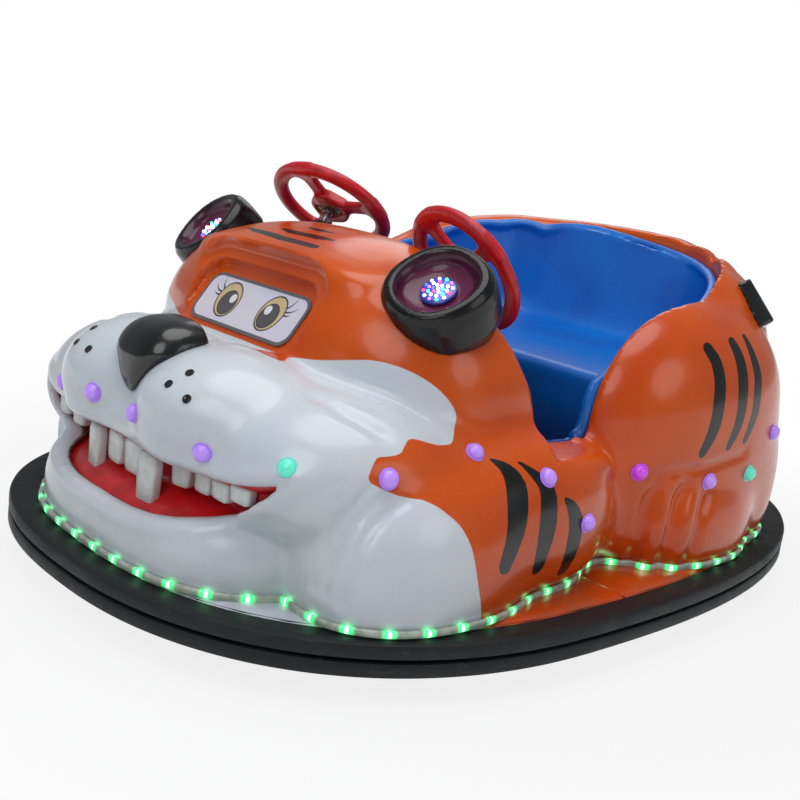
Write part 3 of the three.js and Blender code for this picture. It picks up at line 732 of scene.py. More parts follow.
def tubFinish():
    look = Finish("blue moulded plastic")
    cloud = look.noise(6.0, 3.0)
    z = look.axes()[2]
    colour = look.mix(look.ease(cloud, 0.35, 0.7), paint(0, 112, 208), paint(0, 96, 190))
    # painted shade: the blue darkens towards navy lower in the tub, below the seat top
    low = look.ease(z + cloud * 0.05, 0.3, 0.46, 1.0, 0.0)
    colour = look.mix(low, colour, paint(2, 44, 120))
    scratch = look.ease(look.noise(34.0, 5.0, 0.7, (1, 5, 1)), 0.63, 0.7, 0.0, 0.4)
    colour = look.mix(scratch, colour, paint(70, 140, 214))
    return look.shader(Base_Color=colour, Roughness=look.ease(cloud, 0.3, 0.7, 0.26, 0.38),
                       Normal=look.bump(look.noise(160.0, 2.0), 0.0005, 0.6), Coat_Weight=0.15,
                       Coat_Roughness=0.08)


finishes = {
    "shell": shellFinish(),
    "tub": tubFinish(),
    "red": plainFinish("red moulded plastic", paint(206, 14, 32), paint(180, 8, 26), (0.3, 0.46), 30.0,
                       (260.0, 0.0004), 0.15),
    "blackGloss": plainFinish("black gel coat", paint(5, 5, 6), paint(10, 10, 12), (0.16, 0.28), 9.0,
                              (150.0, 0.0006), 0.35),
    "lining": plainFinish("red mouth paint", paint(222, 28, 34), paint(196, 18, 24), (0.3, 0.45), 25.0,
                          (120.0, 0.0008), 0.3),
    "tooth": plainFinish("painted teeth", paint(214, 217, 216), paint(196, 200, 198), (0.3, 0.45), 40.0,
                         (150.0, 0.0006), 0.3),
    "frame": plainFinish("black painted steel", paint(30, 31, 34), paint(44, 42, 40), (0.45, 0.65), 25.0,
                         (300.0, 0.0006), 0.0, 0.0,
                         None, paint(88, 62, 44)),
    "sheet": plainFinish("grey painted sheet", paint(92, 94, 98), paint(78, 78, 80), (0.4, 0.6), 12.0,
                         (240.0, 0.0004), 0.0, 0.3,
                         None, paint(70, 58, 48)),
    "steel": plainFinish("bright steel", paint(176, 178, 182), paint(150, 152, 156), (0.2, 0.36), 60.0,
                         (500.0, 0.0002), 0.0, 1.0,
                         (1, 1, 6)),
    "battery": plainFinish("battery case", paint(34, 36, 40), paint(46, 48, 52), (0.5, 0.65), 40.0,
                           (400.0, 0.0006)),
    "tan": plainFinish("pressed board", paint(178, 124, 92), paint(140, 92, 68), (0.5, 0.7), 80.0,
                       (300.0, 0.0005)),
}


def rubberFinish():
    look = Finish("bumper rubber")
    cloud = look.noise(9.0, 5.0, 0.65)
    scuff = look.ease(look.noise(26.0, 6.0, 0.75, (1, 1, 3)), 0.54, 0.72)
    colour = look.mix(look.ease(cloud, 0.3, 0.7), paint(15, 18, 20), paint(24, 27, 30))
    side = look.ease(look.value("face"), 0.2, 0.8)
    colour = look.mix(scuff * side * 0.5, colour, paint(62, 66, 68))
    dirt = look.ease(look.noise(60.0, 4.0, 0.7), 0.64, 0.74, 0.0, 0.4)
    colour = look.mix(dirt, colour, paint(84, 84, 80))
    grain = look.noise(500.0, 2.0) + look.noise(70.0, 3.0) * 1.5
    return look.shader(Base_Color=colour, Roughness=look.ease(cloud, 0.3, 0.7, 0.5, 0.68),
                       Specular_IOR_Level=0.35,
                       Normal=look.bump(grain, 0.0006, 0.5))


def tyreFinish():
    look = Finish("tyre rubber")
    cloud = look.noise(30.0, 5.0, 0.65)
    colour = look.mix(look.ease(cloud, 0.3, 0.7), paint(24, 24, 25), paint(40, 38, 36))
    return look.shader(Base_Color=colour, Roughness=look.ease(cloud, 0.3, 0.7, 0.7, 0.85),
                       Normal=look.bump(look.noise(400.0, 2.0), 0.0005, 0.6))


def panelFinish():
    # eyes, lashes and border, drawn on the flat panel
    look = Finish("eye panel print")
    x, y, z = look.axes()
    tilt = math.radians(panel["tilt"])
    up = (y - panel["centre"][1]) * math.sin(tilt) + (z - panel["centre"][2]) * math.cos(tilt)
    soft = 0.0006

    def ring2(centre, half, lean):
        # gauge of a leaning ellipse, less one, in metres
        c, s = math.cos(lean), math.sin(lean)
        u, v = x - centre[0], up - centre[1]
        a = (u * c + v * s) / half[0]
        b = (v * c - u * s) / half[1]
        return ((a * a + b * b) ** 0.5 - 1.0) * min(half)

    def stroke(start, end, bend, thick):
        # thin curved line between two points
        dx, dy = end[0] - start[0], end[1] - start[1]
        length = math.hypot(dx, dy)
        dx, dy = dx / length, dy / length
        along = (x - start[0]) * dx + (up - start[1]) * dy
        across = (up - start[1]) * dx - (x - start[0]) * dy
        t = along / length
        curve = across - t * (1.0 - t) * (4.0 * bend)
        width = (1.0 - t) * thick + 0.0004
        return (abs(curve) - width).most(along * -1.0).most(along - length)

    ground = look.mix(look.ease(look.noise(7.0, 2.0), 0.3, 0.7), paint(214, 214, 236), paint(224, 222, 234))
    colour = ground

    def over(field, tint):
        return look.mix(look.ease(field, -soft, soft, 1.0, 0.0), colour, tint)

    dark, tan, iris = paint(58, 58, 62), paint(212, 190, 146), paint(84, 84, 88)
    for side in (1, -1):
        eye = (side * 0.066, 0.0018)
        colour = over(ring2(eye, (0.0335, 0.0385), -0.35 * side), dark)
        colour = over(ring2(eye, (0.0305, 0.0352), -0.35 * side), tan)
        inner = (eye[0] - side * 0.0035, eye[1] - 0.006)
        colour = over(ring2(inner, (0.0245, 0.0265), -0.3 * side), dark)
        colour = over(ring2(inner, (0.0218, 0.024), -0.3 * side), iris)
        colour = over(ring2((inner[0] - side * 0.0085, inner[1] + 0.0105), (0.0088, 0.0095), 0.0),
                      paint(236, 236, 244))
        for start, end, bend in (((0.094, 0.019), (0.109, 0.044), -0.004),
                                 ((0.098, 0.0125), (0.124, 0.0265), -0.004),
                                 ((0.099, 0.006), (0.116, 0.0095), -0.002)):
            colour = over(stroke((side * start[0], start[1]), (side * end[0], end[1]), bend * side, 0.0018),
                          dark)
    halfU, halfV, radius = 0.1435, 0.0445, 0.022
    a, b = abs(x) - (halfU - radius), abs(up) - (halfV - radius)
    edge = (a.most(0.0) ** 2.0 + b.most(0.0) ** 2.0) ** 0.5 + a.most(b).least(0.0) - radius
    colour = look.mix(look.ease(edge, -soft, soft), colour, paint(98, 98, 104))
    return look.shader(Base_Color=colour, Roughness=0.3, Normal=look.bump(look.noise(90.0, 1.0), 0.0003, 0.3),
                       Coat_Weight=0.3)


def stripFinish():
    # clear flexible strip with a light every few centimetres
    look = Finish("clear light strip")
    away = look.value("toLight")
    cloud = look.noise(60.0, 3.0)
    clear = look.mix(look.ease(cloud, 0.3, 0.7), paint(186, 192, 182), paint(150, 158, 148))
    glow = look.ease(away, 0.002, 0.016, 1.0, 0.0)
    core = look.ease(away, 0.0015, 0.0055, 1.0, 0.0)
    colour = look.mix(glow, clear, paint(60, 225, 130))
    light = look.mix(glow, paint(20, 34, 22), paint(20, 240, 120))
    light = look.mix(core, light, paint(235, 255, 245))
    return look.shader(Base_Color=colour, Roughness=0.25, Emission_Color=light, Emission_Strength=1.6,
                       Normal=look.bump(look.noise(150.0, 1.0), 0.0004, 0.4), Coat_Weight=0.5)


print("finishes made")


zones = {
    "white": [(-0.539, 0.481), (-0.575, 0.457), (-0.632, 0.453), (-0.68, 0.5), (-1.0, 0.6), (-1.0, 0.05),
              (-0.43, 0.05),
              (-0.446, 0.126), (-0.469, 0.185), (-0.482, 0.234), (-0.491, 0.254), (-0.503, 0.273),
              (-0.533, 0.298),
              (-0.556, 0.308), (-0.583, 0.309), (-0.611, 0.320), (-0.638, 0.333), (-0.629, 0.350),
              (-0.617, 0.366),
              (-0.596, 0.366), (-0.574, 0.369), (-0.563, 0.379), (-0.546, 0.389), (-0.504, 0.377),
              (-0.480, 0.373),
              (-0.4525, 0.373), (-0.429, 0.405), (-0.434, 0.423), (-0.449, 0.442), (-0.469, 0.460),
              (-0.492, 0.4735),
              (-0.516, 0.482)],
    "stripes": [
        ([(0.47, -0.393, 0.349), (0.489, -0.377, 0.34), (0.503, -0.371, 0.327), (0.514, -0.37, 0.312),
          (0.528, -0.3755, 0.281), (0.536, -0.38, 0.254), (0.542, -0.392, 0.224), (0.546, -0.404, 0.199)],
         [0.004, 0.012, 0.018, 0.022, 0.023, 0.022, 0.019, 0.017]),
        ([(0.49, -0.346, 0.346), (0.51, -0.3255, 0.329), (0.521, -0.31, 0.314), (0.528, -0.305, 0.299),
          (0.536, -0.306, 0.267), (0.539, -0.307, 0.237), (0.539, -0.3105, 0.208), (0.536, -0.312, 0.178)],
         [0.004, 0.01, 0.015, 0.019, 0.021, 0.021, 0.018, 0.015]),
        ([(0.534, -0.263, 0.287), (0.538, -0.245, 0.269), (0.54, -0.233, 0.244), (0.539, -0.231, 0.206),
          (0.529, -0.233, 0.157)], [0.006, 0.015, 0.019, 0.02, 0.014]),
        ([(0.49, 0.138, 0.524), (0.503, 0.153, 0.502), (0.515, 0.159, 0.466), (0.523, 0.1565, 0.43),
          (0.527, 0.153, 0.392), (0.527, 0.143, 0.362), (0.525, 0.1285, 0.333)],
         [0.014, 0.016, 0.0175, 0.018, 0.0175, 0.015, 0.011]),
        ([(0.489, 0.217, 0.534), (0.501, 0.227, 0.513), (0.512, 0.233, 0.484), (0.521, 0.234, 0.449),
          (0.528, 0.232, 0.407), (0.53, 0.223, 0.372), (0.53, 0.206, 0.34)],
         [0.013, 0.016, 0.018, 0.018, 0.0165, 0.014, 0.009]),
        ([(0.481, 0.268, 0.543), (0.499, 0.279, 0.511), (0.513, 0.292, 0.47), (0.521, 0.288, 0.436),
          (0.526, 0.2855, 0.403), (0.528, 0.274, 0.3745), (0.529, 0.2605, 0.3475)],
         [0.008, 0.013, 0.016, 0.0165, 0.015, 0.012, 0.008]),
    ],
    "brow": [  # bars across the forehead
        ([(-0.145, -0.47, 0.612), (-0.1, -0.484, 0.618), (0, -0.495, 0.62), (0.085, -0.492, 0.619)],
         [0.004, 0.009, 0.011, 0.009]),
        ([(-0.075, -0.452, 0.64), (-0.03, -0.459, 0.637), (0.05, -0.455, 0.638), (0.085, -0.448, 0.641)],
         [0.003, 0.01, 0.011, 0.003]),
        ([(-0.04, -0.416, 0.65), (0.0, -0.42, 0.65), (0.04, -0.416, 0.65)], [0.003, 0.009, 0.003]),
    ],
}


addToes()


def smoothed(points, closed, rounds=2):
    # corners of a line cut off, a little each time
    line = [np.array(point, float) for point in points]
    for _ in range(rounds):
        pairs = list(zip(line, line[1:] + line[:1] if closed else line[1:]))
        cut = [q for a, b in pairs for q in (a * 0.78 + b * 0.22, a * 0.22 + b * 0.78)]
        line = cut if closed else [line[0]] + cut + [line[-1]]
    return line


def stripeLine(path, radii):
    made = smoothed([(*point, radius) for point, radius in zip(path, radii)], False, 1)
    return [q[:3] for q in made], [q[3] for q in made]


def zoneValues(p):
    half = p.copy()
    half[:, 0] = np.abs(half[:, 0])
    white = polygonField(p[:, 1], p[:, 2], [tuple(q) for q in smoothed(zones["white"], True)])
    stripe = np.full(len(p), 1.0)
    for path, radii in zones["stripes"]:
        stripe = np.minimum(stripe, strokeField(half, *stripeLine(path, radii)))
    for path, radii in zones["brow"]:
        stripe = np.minimum(stripe, strokeField(p, onBody(path)[0], radii))
    inside = np.clip(-trimmedField(p, bodyField(p)) / body["wall"], 0, 1)
    inside *= np.clip((p[:, 2] - 0.118) / 0.012, 0, 1)  # the foot's cut edge is painted too
    return {"whiteZone": white, "stripeZone": stripe, "inside": inside}


def makeShell(name, side):
    # side -1 is the part ahead of the seam, 1 the part behind it
    line = body["seam"] + (body["seamGap"] if side > 0 else 0.0)

    def field(p):
        return np.maximum(shellField(p), side * (line - p[:, 1]))

    low = (-0.6, -0.87 if side < 0 else line - 0.02, 0.08)
    high = (0.6, line + 0.02 if side < 0 else 0.86, 0.72)
    points, faces = surfaceOf(field, low, high, body["cells"][side])
    makePiece(name, points, faces, finishes["shell"], "car_body", (name,), zoneValues(points))


makeShell("head_shell", -1)
makeShell("rear_shell", 1)


rubber = rubberFinish()


def ringPath(spacing=0.012):
    path = []
    for i in range(1440):
        turn = 2 * math.pi * i / 1440
        c, s = math.cos(turn), math.sin(turn)
        power = ring["frontPower"] if s < 0 else ring["rearPower"]
        reach = ring["widest"] - ring["front"] if s < 0 else ring["rear"] - ring["widest"]
        path.append((math.copysign(abs(c) ** (2 / power), c) * ring["halfWidth"],
                     ring["widest"] + math.copysign(abs(s) ** (2 / power), s) * reach))
    return evenly(path, spacing)[0]


bumper = {
    "upper": [(0.004, 0.0765), (0.0012, 0.0785), (0.0, 0.082), (0.0, 0.095), (0.002, 0.0995), (0.0065, 0.102),
              (0.02, 0.1022), (0.024, 0.1012), (0.049, 0.101), (0.0535, 0.0995), (0.055, 0.096),
              (0.055, 0.0765)],
    "lower": [(0.006, 0.046), (0.0018, 0.0482), (0.0002, 0.052), (0.0004, 0.066), (0.0026, 0.0702),
              (0.007, 0.072),
              (0.055, 0.072), (0.055, 0.046)],
}

for tier in ("upper", "lower"):
    path = ringPath()
    points, faces = swept(path, bumper[tier])
    rows = len(bumper[tier])
    face = [1.0 if bumper[tier][i % rows][0] < 0.0045 else 0.0 for i in range(len(points))]
    makePiece(f"bumper_{tier}", points, faces, rubber, "car_body", (f"bumper_{tier}",),
              {"face": face}, 30)


def footPath(height, lift):
    turns = np.linspace(0, 2 * math.pi, 900, endpoint=False)
    way = np.stack([np.cos(turns), np.sin(turns)], -1)
    near, far = np.full(900, 0.2), np.full(900, 1.1)
    for _ in range(26):
        middle = (near + far) / 2
        p = np.column_stack([way * middle[:, None], np.full(900, height)])
        inside = bodyField(p) < lift
        near, far = np.where(inside, middle, near), np.where(inside, far, middle)
    return way * near[:, None]


strip = {"height": 0.1108, "profile": [(-0.0035, 0.1056), (0.0035, 0.1056), (0.0042, 0.108), (0.0042, 0.1134),
                                       (0.003, 0.1158), (0.0, 0.1166), (-0.003, 0.1158), (-0.0042, 0.1134),
                                       (-0.0042, 0.108)], "spacing": 0.064}
path, gapLength = evenly(footPath(strip["height"], 0.006), 0.004)
points, faces = swept(path, strip["profile"])
lights = round(len(path) * gapLength / strip["spacing"])
along = np.arange(len(path)) / len(path) * lights
toLight = np.abs(along - np.round(along)) * strip["spacing"]
rows = len(strip["profile"])
lower = np.array([abs(z - 0.1108) for _, z in strip["profile"]])
values = np.hypot(np.repeat(toLight, rows), np.tile(lower, len(path)) * 0.6)
makePiece("light_strip", points, faces, stripFinish(), "car_body", ("light_strip",),
          {"toLight": values}, 50)


tub = {"inset": 0.0118, "wall": 0.0112, "seatTop": 0.445, "seatFront": 0.0, "floor": 0.117, "backFoot": 0.45,
       "roll": 0.0098, "cell": 0.006}


def tubSpace(p):
    y, z = p[:, 1], p[:, 2]
    onSeat = tub["seatTop"] - z
    atLegs = softMax(y - tub["seatFront"], tub["floor"] - z, 0.05)
    space = softMin(onSeat, atLegs, 0.035)
    space = softMax(space, outlineField(p, cockpit, tub["inset"]), 0.07)
    back = (y - tub["backFoot"] - (z - tub["seatTop"]) * 0.175) * 0.985
    return softMax(space, back, 0.08)


def tubField(p):
    space = tubSpace(p)
    low = 0.006 + 0.022 * np.clip((-0.2 - p[:, 1]) / 0.1, 0, 1)
    rim = p[:, 2] - rimHeight(p[:, 1]) + 0.1 * np.maximum(p[:, 0] + 0.1, 0) - 0.001
    top = softMax(plainBody(p) + low, rim, 0.02)
    field = np.maximum(space - tub["wall"], -space)
    field = np.maximum(field, outlineField(p, cockpit, 0.0006))
    field = np.maximum(field, np.minimum(top, outlineField(p, cockpit, 0.045)))
    field = softMax(field, -doorField(p), 0.01)
    edge = outlineField(p, cockpit, 0.0108)
    roll = np.hypot(edge, top) - tub["roll"]
    roll = np.maximum(np.maximum(roll, -doorField(p) - 0.004), -0.1 - p[:, 1])
    legs = roundedBox2(p[:, 0], p[:, 2] - 0.32, 0.33, 0.18, 0.05)
    field = softMax(field, -np.maximum(legs, p[:, 1] + 0.2), 0.01)
    return softMin(field, roll, 0.008)


points, faces = surfaceOf(tubField, (-0.44, -0.34, 0.09), (0.44, 0.56, 0.74), tub["cell"])
makePiece("seat_tub", points, faces, finishes["tub"], "car_body", ("seat_tub",))


nose = {"cell": 0.0032}


def noseField(p):
    half = np.abs(p[:, 0])
    narrow = np.clip((p[:, 2] - 0.335) / 0.105, 0.2, 1.0)
    lean = np.column_stack([half / narrow ** 0.9, p[:, 1] - 0.25 * np.maximum(p[:, 2] - 0.43, 0), p[:, 2]])
    field = formField(lean, (0, -0.708, 0.418), (0.083, 0.086, 0.073), 2.9) * 0.75
    field = np.maximum(field, -(plainBody(p) - 0.0006))
    return softMax(field, p[:, 1] + 0.682, 0.012)


points, faces = surfaceOf(noseField, (-0.1, -0.82, 0.33), (0.1, -0.61, 0.51), nose["cell"])
makePiece("nose", points, faces, finishes["blackGloss"], "car_body", ("nose",), None, 50)

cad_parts["eye_panel"].data.materials.clear()
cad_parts["eye_panel"].data.materials.append(panelFinish())


def lipTop(x):
    # height of the upper lip at a distance from the middle
    line = sorted((u, v) for u, v in mouthLine[mouth["steps"]:2 * mouth["steps"] + 1])
    return np.interp(np.abs(x), [u for u, _ in line], [v for _, v in line])


def liningField(p):
    outer = bodyField(p)
    edge = mouthField(p)
    tray = np.maximum(np.maximum(edge - 0.012, outer + 0.008), -(outer + 0.036))
    hollow = np.maximum(edge - 0.0045, -(outer + 0.024))
    field = softMax(tray, -hollow, 0.006)
    gum = np.hypot(p[:, 2] - lipTop(p[:, 0]) + 0.003, outer + 0.022) - 0.014
    field = softMin(field, np.maximum(gum, edge - 0.012), 0.01)
    return np.maximum(field, p[:, 1] + 0.4405)


points, faces = surfaceOf(liningField, (-0.44, -0.84, 0.17), (0.44, -0.43, 0.345), 0.005)
makePiece("mouth_lining", points, faces, finishes["lining"], "car_body", ("mouth_lining",))


def toothBlock(width, depth, height, taper, power=7.0, count=24, rows=18):
    # block with soft edges, narrower at its lower end
    points, faces = [], []
    for j in range(rows + 1):
        b = math.pi * (j / rows - 0.5)
        for i in range(count):
            a = 2 * math.pi * i / count
            p = np.array([math.cos(b) * math.cos(a), math.cos(b) * math.sin(a), math.sin(b)])
            p /= (np.abs(p) ** power).sum() ** (1 / power)
            thin = 1 - taper * (0.5 - 0.5 * p[2]) ** 1.4
            points.append((p[0] * width / 2 * thin, p[1] * depth / 2 * (0.5 + 0.5 * thin), p[2] * height / 2))
    for j in range(rows):
        for i in range(count):
            n = (i + 1) % count
            faces.append((j * count + i, j * count + n, (j + 1) * count + n, (j + 1) * count + i))
    return np.array(points), faces


teeth = {  # distance from the middle, width, height, taper
    "row": [(-0.278, 0.045, 0.032, 0.1), (-0.226, 0.046, 0.036, 0.1), (-0.17, 0.052, 0.05, 0.15),
            (-0.108, 0.05, 0.103, 0.2),
            (-0.045, 0.057, 0.057, 0.12), (0.021, 0.057, 0.059, 0.12), (0.086, 0.056, 0.113, 0.25),
            (0.141, 0.043, 0.041, 0.1), (0.19, 0.045, 0.036, 0.1), (0.243, 0.05, 0.033, 0.1),
            (0.299, 0.049, 0.028, 0.1)],
    "depth": 0.022,
    "setBack": 0.0155,
}


def makeTeeth():
    parts = []
    for x, width, height, taper in teeth["row"]:
        spot = np.array([[x, -0.78, float(lipTop(x)) - 0.01 - height / 2]])
        for _ in range(12):
            spot[:, 1] -= np.clip(bodyField(spot) / slopeOf(bodyField, spot)[:, 1], -0.03, 0.03)
        out = slopeOf(bodyField, spot)[0]
        flat = math.atan2(out[1], out[0]) + math.pi / 2
        block, faces = toothBlock(width * 0.93, teeth["depth"], height, taper)
        c, s = math.cos(flat), math.sin(flat)
        turn = np.array([[c, -s, 0], [s, c, 0], [0, 0, 1]])
        inward = np.array([out[0], out[1], 0]) / math.hypot(out[0], out[1])
        parts.append((block @ turn.T + spot[0] - inward * teeth["setBack"], faces))
    points, faces = joined(parts)
    makePiece("teeth", points, faces, finishes["tooth"], "car_body", ("teeth",), None, 60)


makeTeeth()

# painted shade: black gloss discs stand in for the shade inside each whisker hole
whiskers = {"holes": [(0.159, -0.771, 0.433), (0.143, -0.797, 0.412), (0.192, -0.793, 0.4),
                      (-0.174, -0.762, 0.435),
                      (-0.176, -0.792, 0.41), (-0.118, -0.799, 0.41)], "radius": 0.0072}
spots, outs = onBody(whiskers["holes"], 0.0002)
profile = [(0.0001, 0.0008), (whiskers["radius"] * 0.5, 0.001), (whiskers["radius"] * 0.8, 0.0018),
           (whiskers["radius"], 0.0014), (whiskers["radius"] * 1.08, 0.0003),
           (whiskers["radius"] * 1.1, -0.004),
           (0.0001, -0.005)]
points, faces = joined([(placed(turned(profile, 20)[0], spot, out), turned(profile, 20)[1])
                        for spot, out in zip(spots, outs)])
makePiece("whisker_holes", points, faces, finishes["blackGloss"], "car_body")


def makeEar(word, side):
    def field(p):
        a, t, b = earAxes(p, side)
        turn = np.arctan2(b, a)
        r = np.hypot(a, b) * (1 + 0.02 * np.cos(4 * turn + 0.6 * side))
        cup = polygonField(r, t, earProfile) - 0.0025
        return softMax(cup, -np.maximum(bodyField(p) - 0.0004, -earCore(p, side)), 0.003)

    centre = Vector((side * ear["centre"][0], ear["centre"][1], ear["centre"][2]))
    points, faces = surfaceOf(field, centre - Vector((0.13, 0.13, 0.15)), centre + Vector((0.13, 0.15, 0.13)),
                              ear["cell"])
    a, t, b = earAxes(points, side)
    # strength of the ear lamp's glow painted on the cup, highest at the middle of the bowl
    bowl = np.clip(1.25 - np.hypot(a, b) / 0.064, 0, 1) * (t > -0.03)
    makePiece(f"ear_{word}", points, faces, earFinish, "car_body", (f"ear_{word}",),
              {"bowl": bowl}, 45)


def earCupFinish():
    look = Finish("ear gel coat")
    cloud = look.noise(9.0, 3.0)
    colour = look.mix(look.ease(cloud, 0.3, 0.7), paint(5, 5, 6), paint(11, 11, 13))
    # painted light: the ear lamp's glow painted into the black cup as a red-purple tint, strongest at the
    # middle of the bowl
    glow = look.ease(look.value("bowl"), 0.02, 0.5, 0.0, 0.75)
    colour = look.mix(glow, colour, paint(112, 40, 76))
    return look.shader(Base_Color=colour, Roughness=look.ease(cloud, 0.3, 0.7, 0.16, 0.28),
                       Normal=look.bump(look.noise(120.0, 2.0), 0.0006, 0.5), Specular_IOR_Level=0.32,
                       Coat_Weight=0.1)


earFinish = earCupFinish()
for word, side in (("left", 1), ("right", -1)):
    makeEar(word, side)

bulbTints = [paint(226, 220, 255), paint(255, 50, 90), paint(50, 80, 255), paint(60, 250, 190),
             paint(170, 90, 255)]
bulbFinish = glowFinish("ear light points", bulbTints, 4.0)
lensFinish = plainFinish("ear lamp board", paint(64, 70, 200), paint(40, 60, 150), (0.15, 0.3), 60.0,
                         (300.0, 0.0004), 0.6)


def makeEarLamp(word, side):
    centre = (side * ear["centre"][0], ear["centre"][1], ear["centre"][2])
    aim = ear["aims"][side]
    board = rounded([(0.0001, -0.0218), (0.0318, -0.0218), (0.0318, -0.0168), (0.027, -0.0145),
                     (0.0001, -0.0125)], 0.004)
    points, faces = turned(board, 40)
    makePiece(f"ear_light_{word}", placed(points, centre, aim), faces, lensFinish, "car_body",
              (f"ear_light_{word}",))
    dot = [(0.0001, 0.0032), (0.0016, 0.0028), (0.0026, 0.0014), (0.0029, 0.0), (0.0001, -0.0005)]
    parts, tints, heights = [], [], []
    for radius, count, shift in ((0.0, 1, 0), (0.0085, 6, 1), (0.0165, 10, 2), (0.0245, 12, 0)):
        for i in range(count):
            turn = 2 * math.pi * i / count + 0.3 * shift
            points, faces = turned(dot, 10)
            at = np.array([radius * math.cos(turn), -0.0128 - radius ** 2 * 3, radius * math.sin(turn)])
            parts.append((placed(points + at, centre, aim), faces))
            tint = [0, 2, 0, 3, 0, 1, 4][(i * 3 + shift * 2) % 7]
            tints += [tint] * len(points)
            heights += [1.0] * len(points)
    points, faces = joined(parts)
    makePiece(f"ear_bulbs_{word}", points, faces, bulbFinish, "car_body", (),
              {"tint": tints, "height": heights})


for word, side in (("left", 1), ("right", -1)):
    makeEarLamp(word, side)


domes = {
    "radius": 0.0148,
    "height": 0.0125,
    "spots": [  # left side: place, tint 0 lilac, 1 mint, 2 magenta
        ((0.07, -0.81, 0.346), 0), ((0.231, -0.781, 0.324), 0), ((0.378, -0.729, 0.338), 1),
        ((0.464, -0.604, 0.336), 0),
        ((0.453, -0.414, 0.358), 0), ((0.5165, -0.3, 0.324), 0), ((0.539, -0.2025, 0.241), 0),
        ((0.4855, -0.003, 0.296), 2),
        ((0.524, 0.166, 0.274), 0), ((0.5216, 0.309, 0.2755), 1), ((0.508, 0.397, 0.35), 0),
        ((0.4, 0.58, 0.3), 0),
        ((0.22, 0.73, 0.3), 1),
    ],
}
domeTints = [paint(186, 142, 246), paint(98, 238, 204), paint(206, 74, 232)]


def makeDomes():
    spots = [(x * side, y, z) for (x, y, z), _ in domes["spots"] for side in (1, -1)]
    spots[5] = (-0.37, -0.66, 0.3)
    tints = [tint for _, tint in domes["spots"] for _ in (1, -1)]
    places, outs = onBody(spots, -0.001)
    r, h = domes["radius"], domes["height"]
    turns = np.linspace(0.15, math.pi / 2, 9)
    cap = [(0.0001, h + 0.003)] + [(r * math.sin(t), 0.003 + h * math.cos(t)) for t in turns]
    profile = cap + [(r, 0.0028), (r + 0.0022, 0.0026), (r + 0.0026, 0.0019), (r + 0.0022, 0.001),
                     (r, 0.0006), (r, -0.004), (0.0001, -0.004)]
    parts, tint, height = [], [], []
    for place, out, number in zip(places, outs, tints):
        points, faces = turned(profile, 28)
        parts.append((placed(points, place, out), faces))
        tint += [number] * len(points)
        # height on each dome sets its painted shade in the finish, darker low down
        height += list(np.clip(points[:, 1] / h, 0, 1))
    points, faces = joined(parts)
    makePiece("dome_lamps", points, faces, glowFinish("dome lamps", domeTints, 0.22), "car_body", (),
              {"tint": tint, "height": height}, 50)


makeDomes()


steering = {
    "outer": 0.1305, "tube": 0.0122, "spread": 1.3, "spokeWidth": 0.03, "room": (0.14, 0.02), "cell": 0.003,
    "sets": {
        "right": {"hub": (-0.2, -0.238, 0.677), "aim": (-0.176, 0.58, 0.796), "spokes": (0, 135, 270)},
        "left": {"hub": (0.203, -0.24, 0.616), "aim": (0.035, 0.828, 0.559), "spokes": (236, 326, 101)},
    },
}


def wheelField(spokes):
    centre = steering["outer"] - steering["tube"] * steering["spread"]

    def field(p):
        r = np.hypot(p[:, 0], p[:, 2])
        rim = (np.hypot((r - centre) / steering["spread"], p[:, 1]) - steering["tube"]) * 1.1
        hub = softMax(r - 0.041 + 0.15 * p[:, 1], np.abs(p[:, 1]) - 0.0105, 0.006)
        field = hub
        for angle in spokes:
            a = math.radians(angle)
            along = p[:, 0] * math.cos(a) - p[:, 2] * math.sin(a)
            across = p[:, 0] * math.sin(a) + p[:, 2] * math.cos(a)
            wide = steering["spokeWidth"] / 2 + 0.05 * np.maximum(np.abs(along - 0.075) - 0.03, 0)
            spoke = roundedBox2(across, p[:, 1], wide, 0.0062, 0.005)
            spoke = np.maximum(spoke, np.maximum(-along, along - centre))
            field = softMin(field, spoke, 0.02)
        field = softMin(field, rim, 0.026)
        socket = softMax(np.hypot(p[:, 0], p[:, 2] * 1.6) - 0.0335, p[:, 1] + 0.0072, 0.003)
        return softMax(field, -socket, 0.003)

    return field


def makeSteeringWheel(word):
    one = steering["sets"][word]
    wide, thick = steering["room"]
    points, faces = surfaceOf(wheelField(one["spokes"]), (-wide, -thick, -wide), (wide, thick, wide),
                              steering["cell"])
    rides = f"{word}_steering"
    makePiece(f"steering_wheel_{word}", placed(points, one["hub"], one["aim"]), faces, finishes["red"], rides,
              (f"steering_wheel_{word}",), None, 50)
    plate = [(0.0125, -0.0068), (0.0315, -0.0068), (0.0315, -0.0088), (0.0125, -0.0088)]
    points, faces = turned(plate, 40, True)
    points[:, 2] /= 1.6
    makePiece(f"hub_plate_{word}", placed(points, one["hub"], one["aim"]), faces, finishes["tan"], rides)
    screw = [(0.0001, -0.0106), (0.002, -0.0104), (0.003, -0.0098), (0.0032, -0.0086),
             (0.0001, -0.0086)][::-1]
    nut = [(0.0078, -0.018), (0.0108, -0.018), (0.0118, -0.017), (0.0118, -0.0072), (0.0078, -0.0072)]
    parts = [(turned(nut, 6, True)[0], turned(nut, 6, True)[1])]
    for x, z in ((0.022, 0.004), (-0.022, 0.004), (0.022, -0.005), (-0.022, -0.005)):
        points, faces = turned(screw, 10)
        parts.append((points + np.array([x, 0, z]), faces))
    points, faces = joined(parts)
    makePiece(f"hub_screws_{word}", placed(points, one["hub"], one["aim"]), faces, finishes["steel"], rides,
              (),
              None, 30)


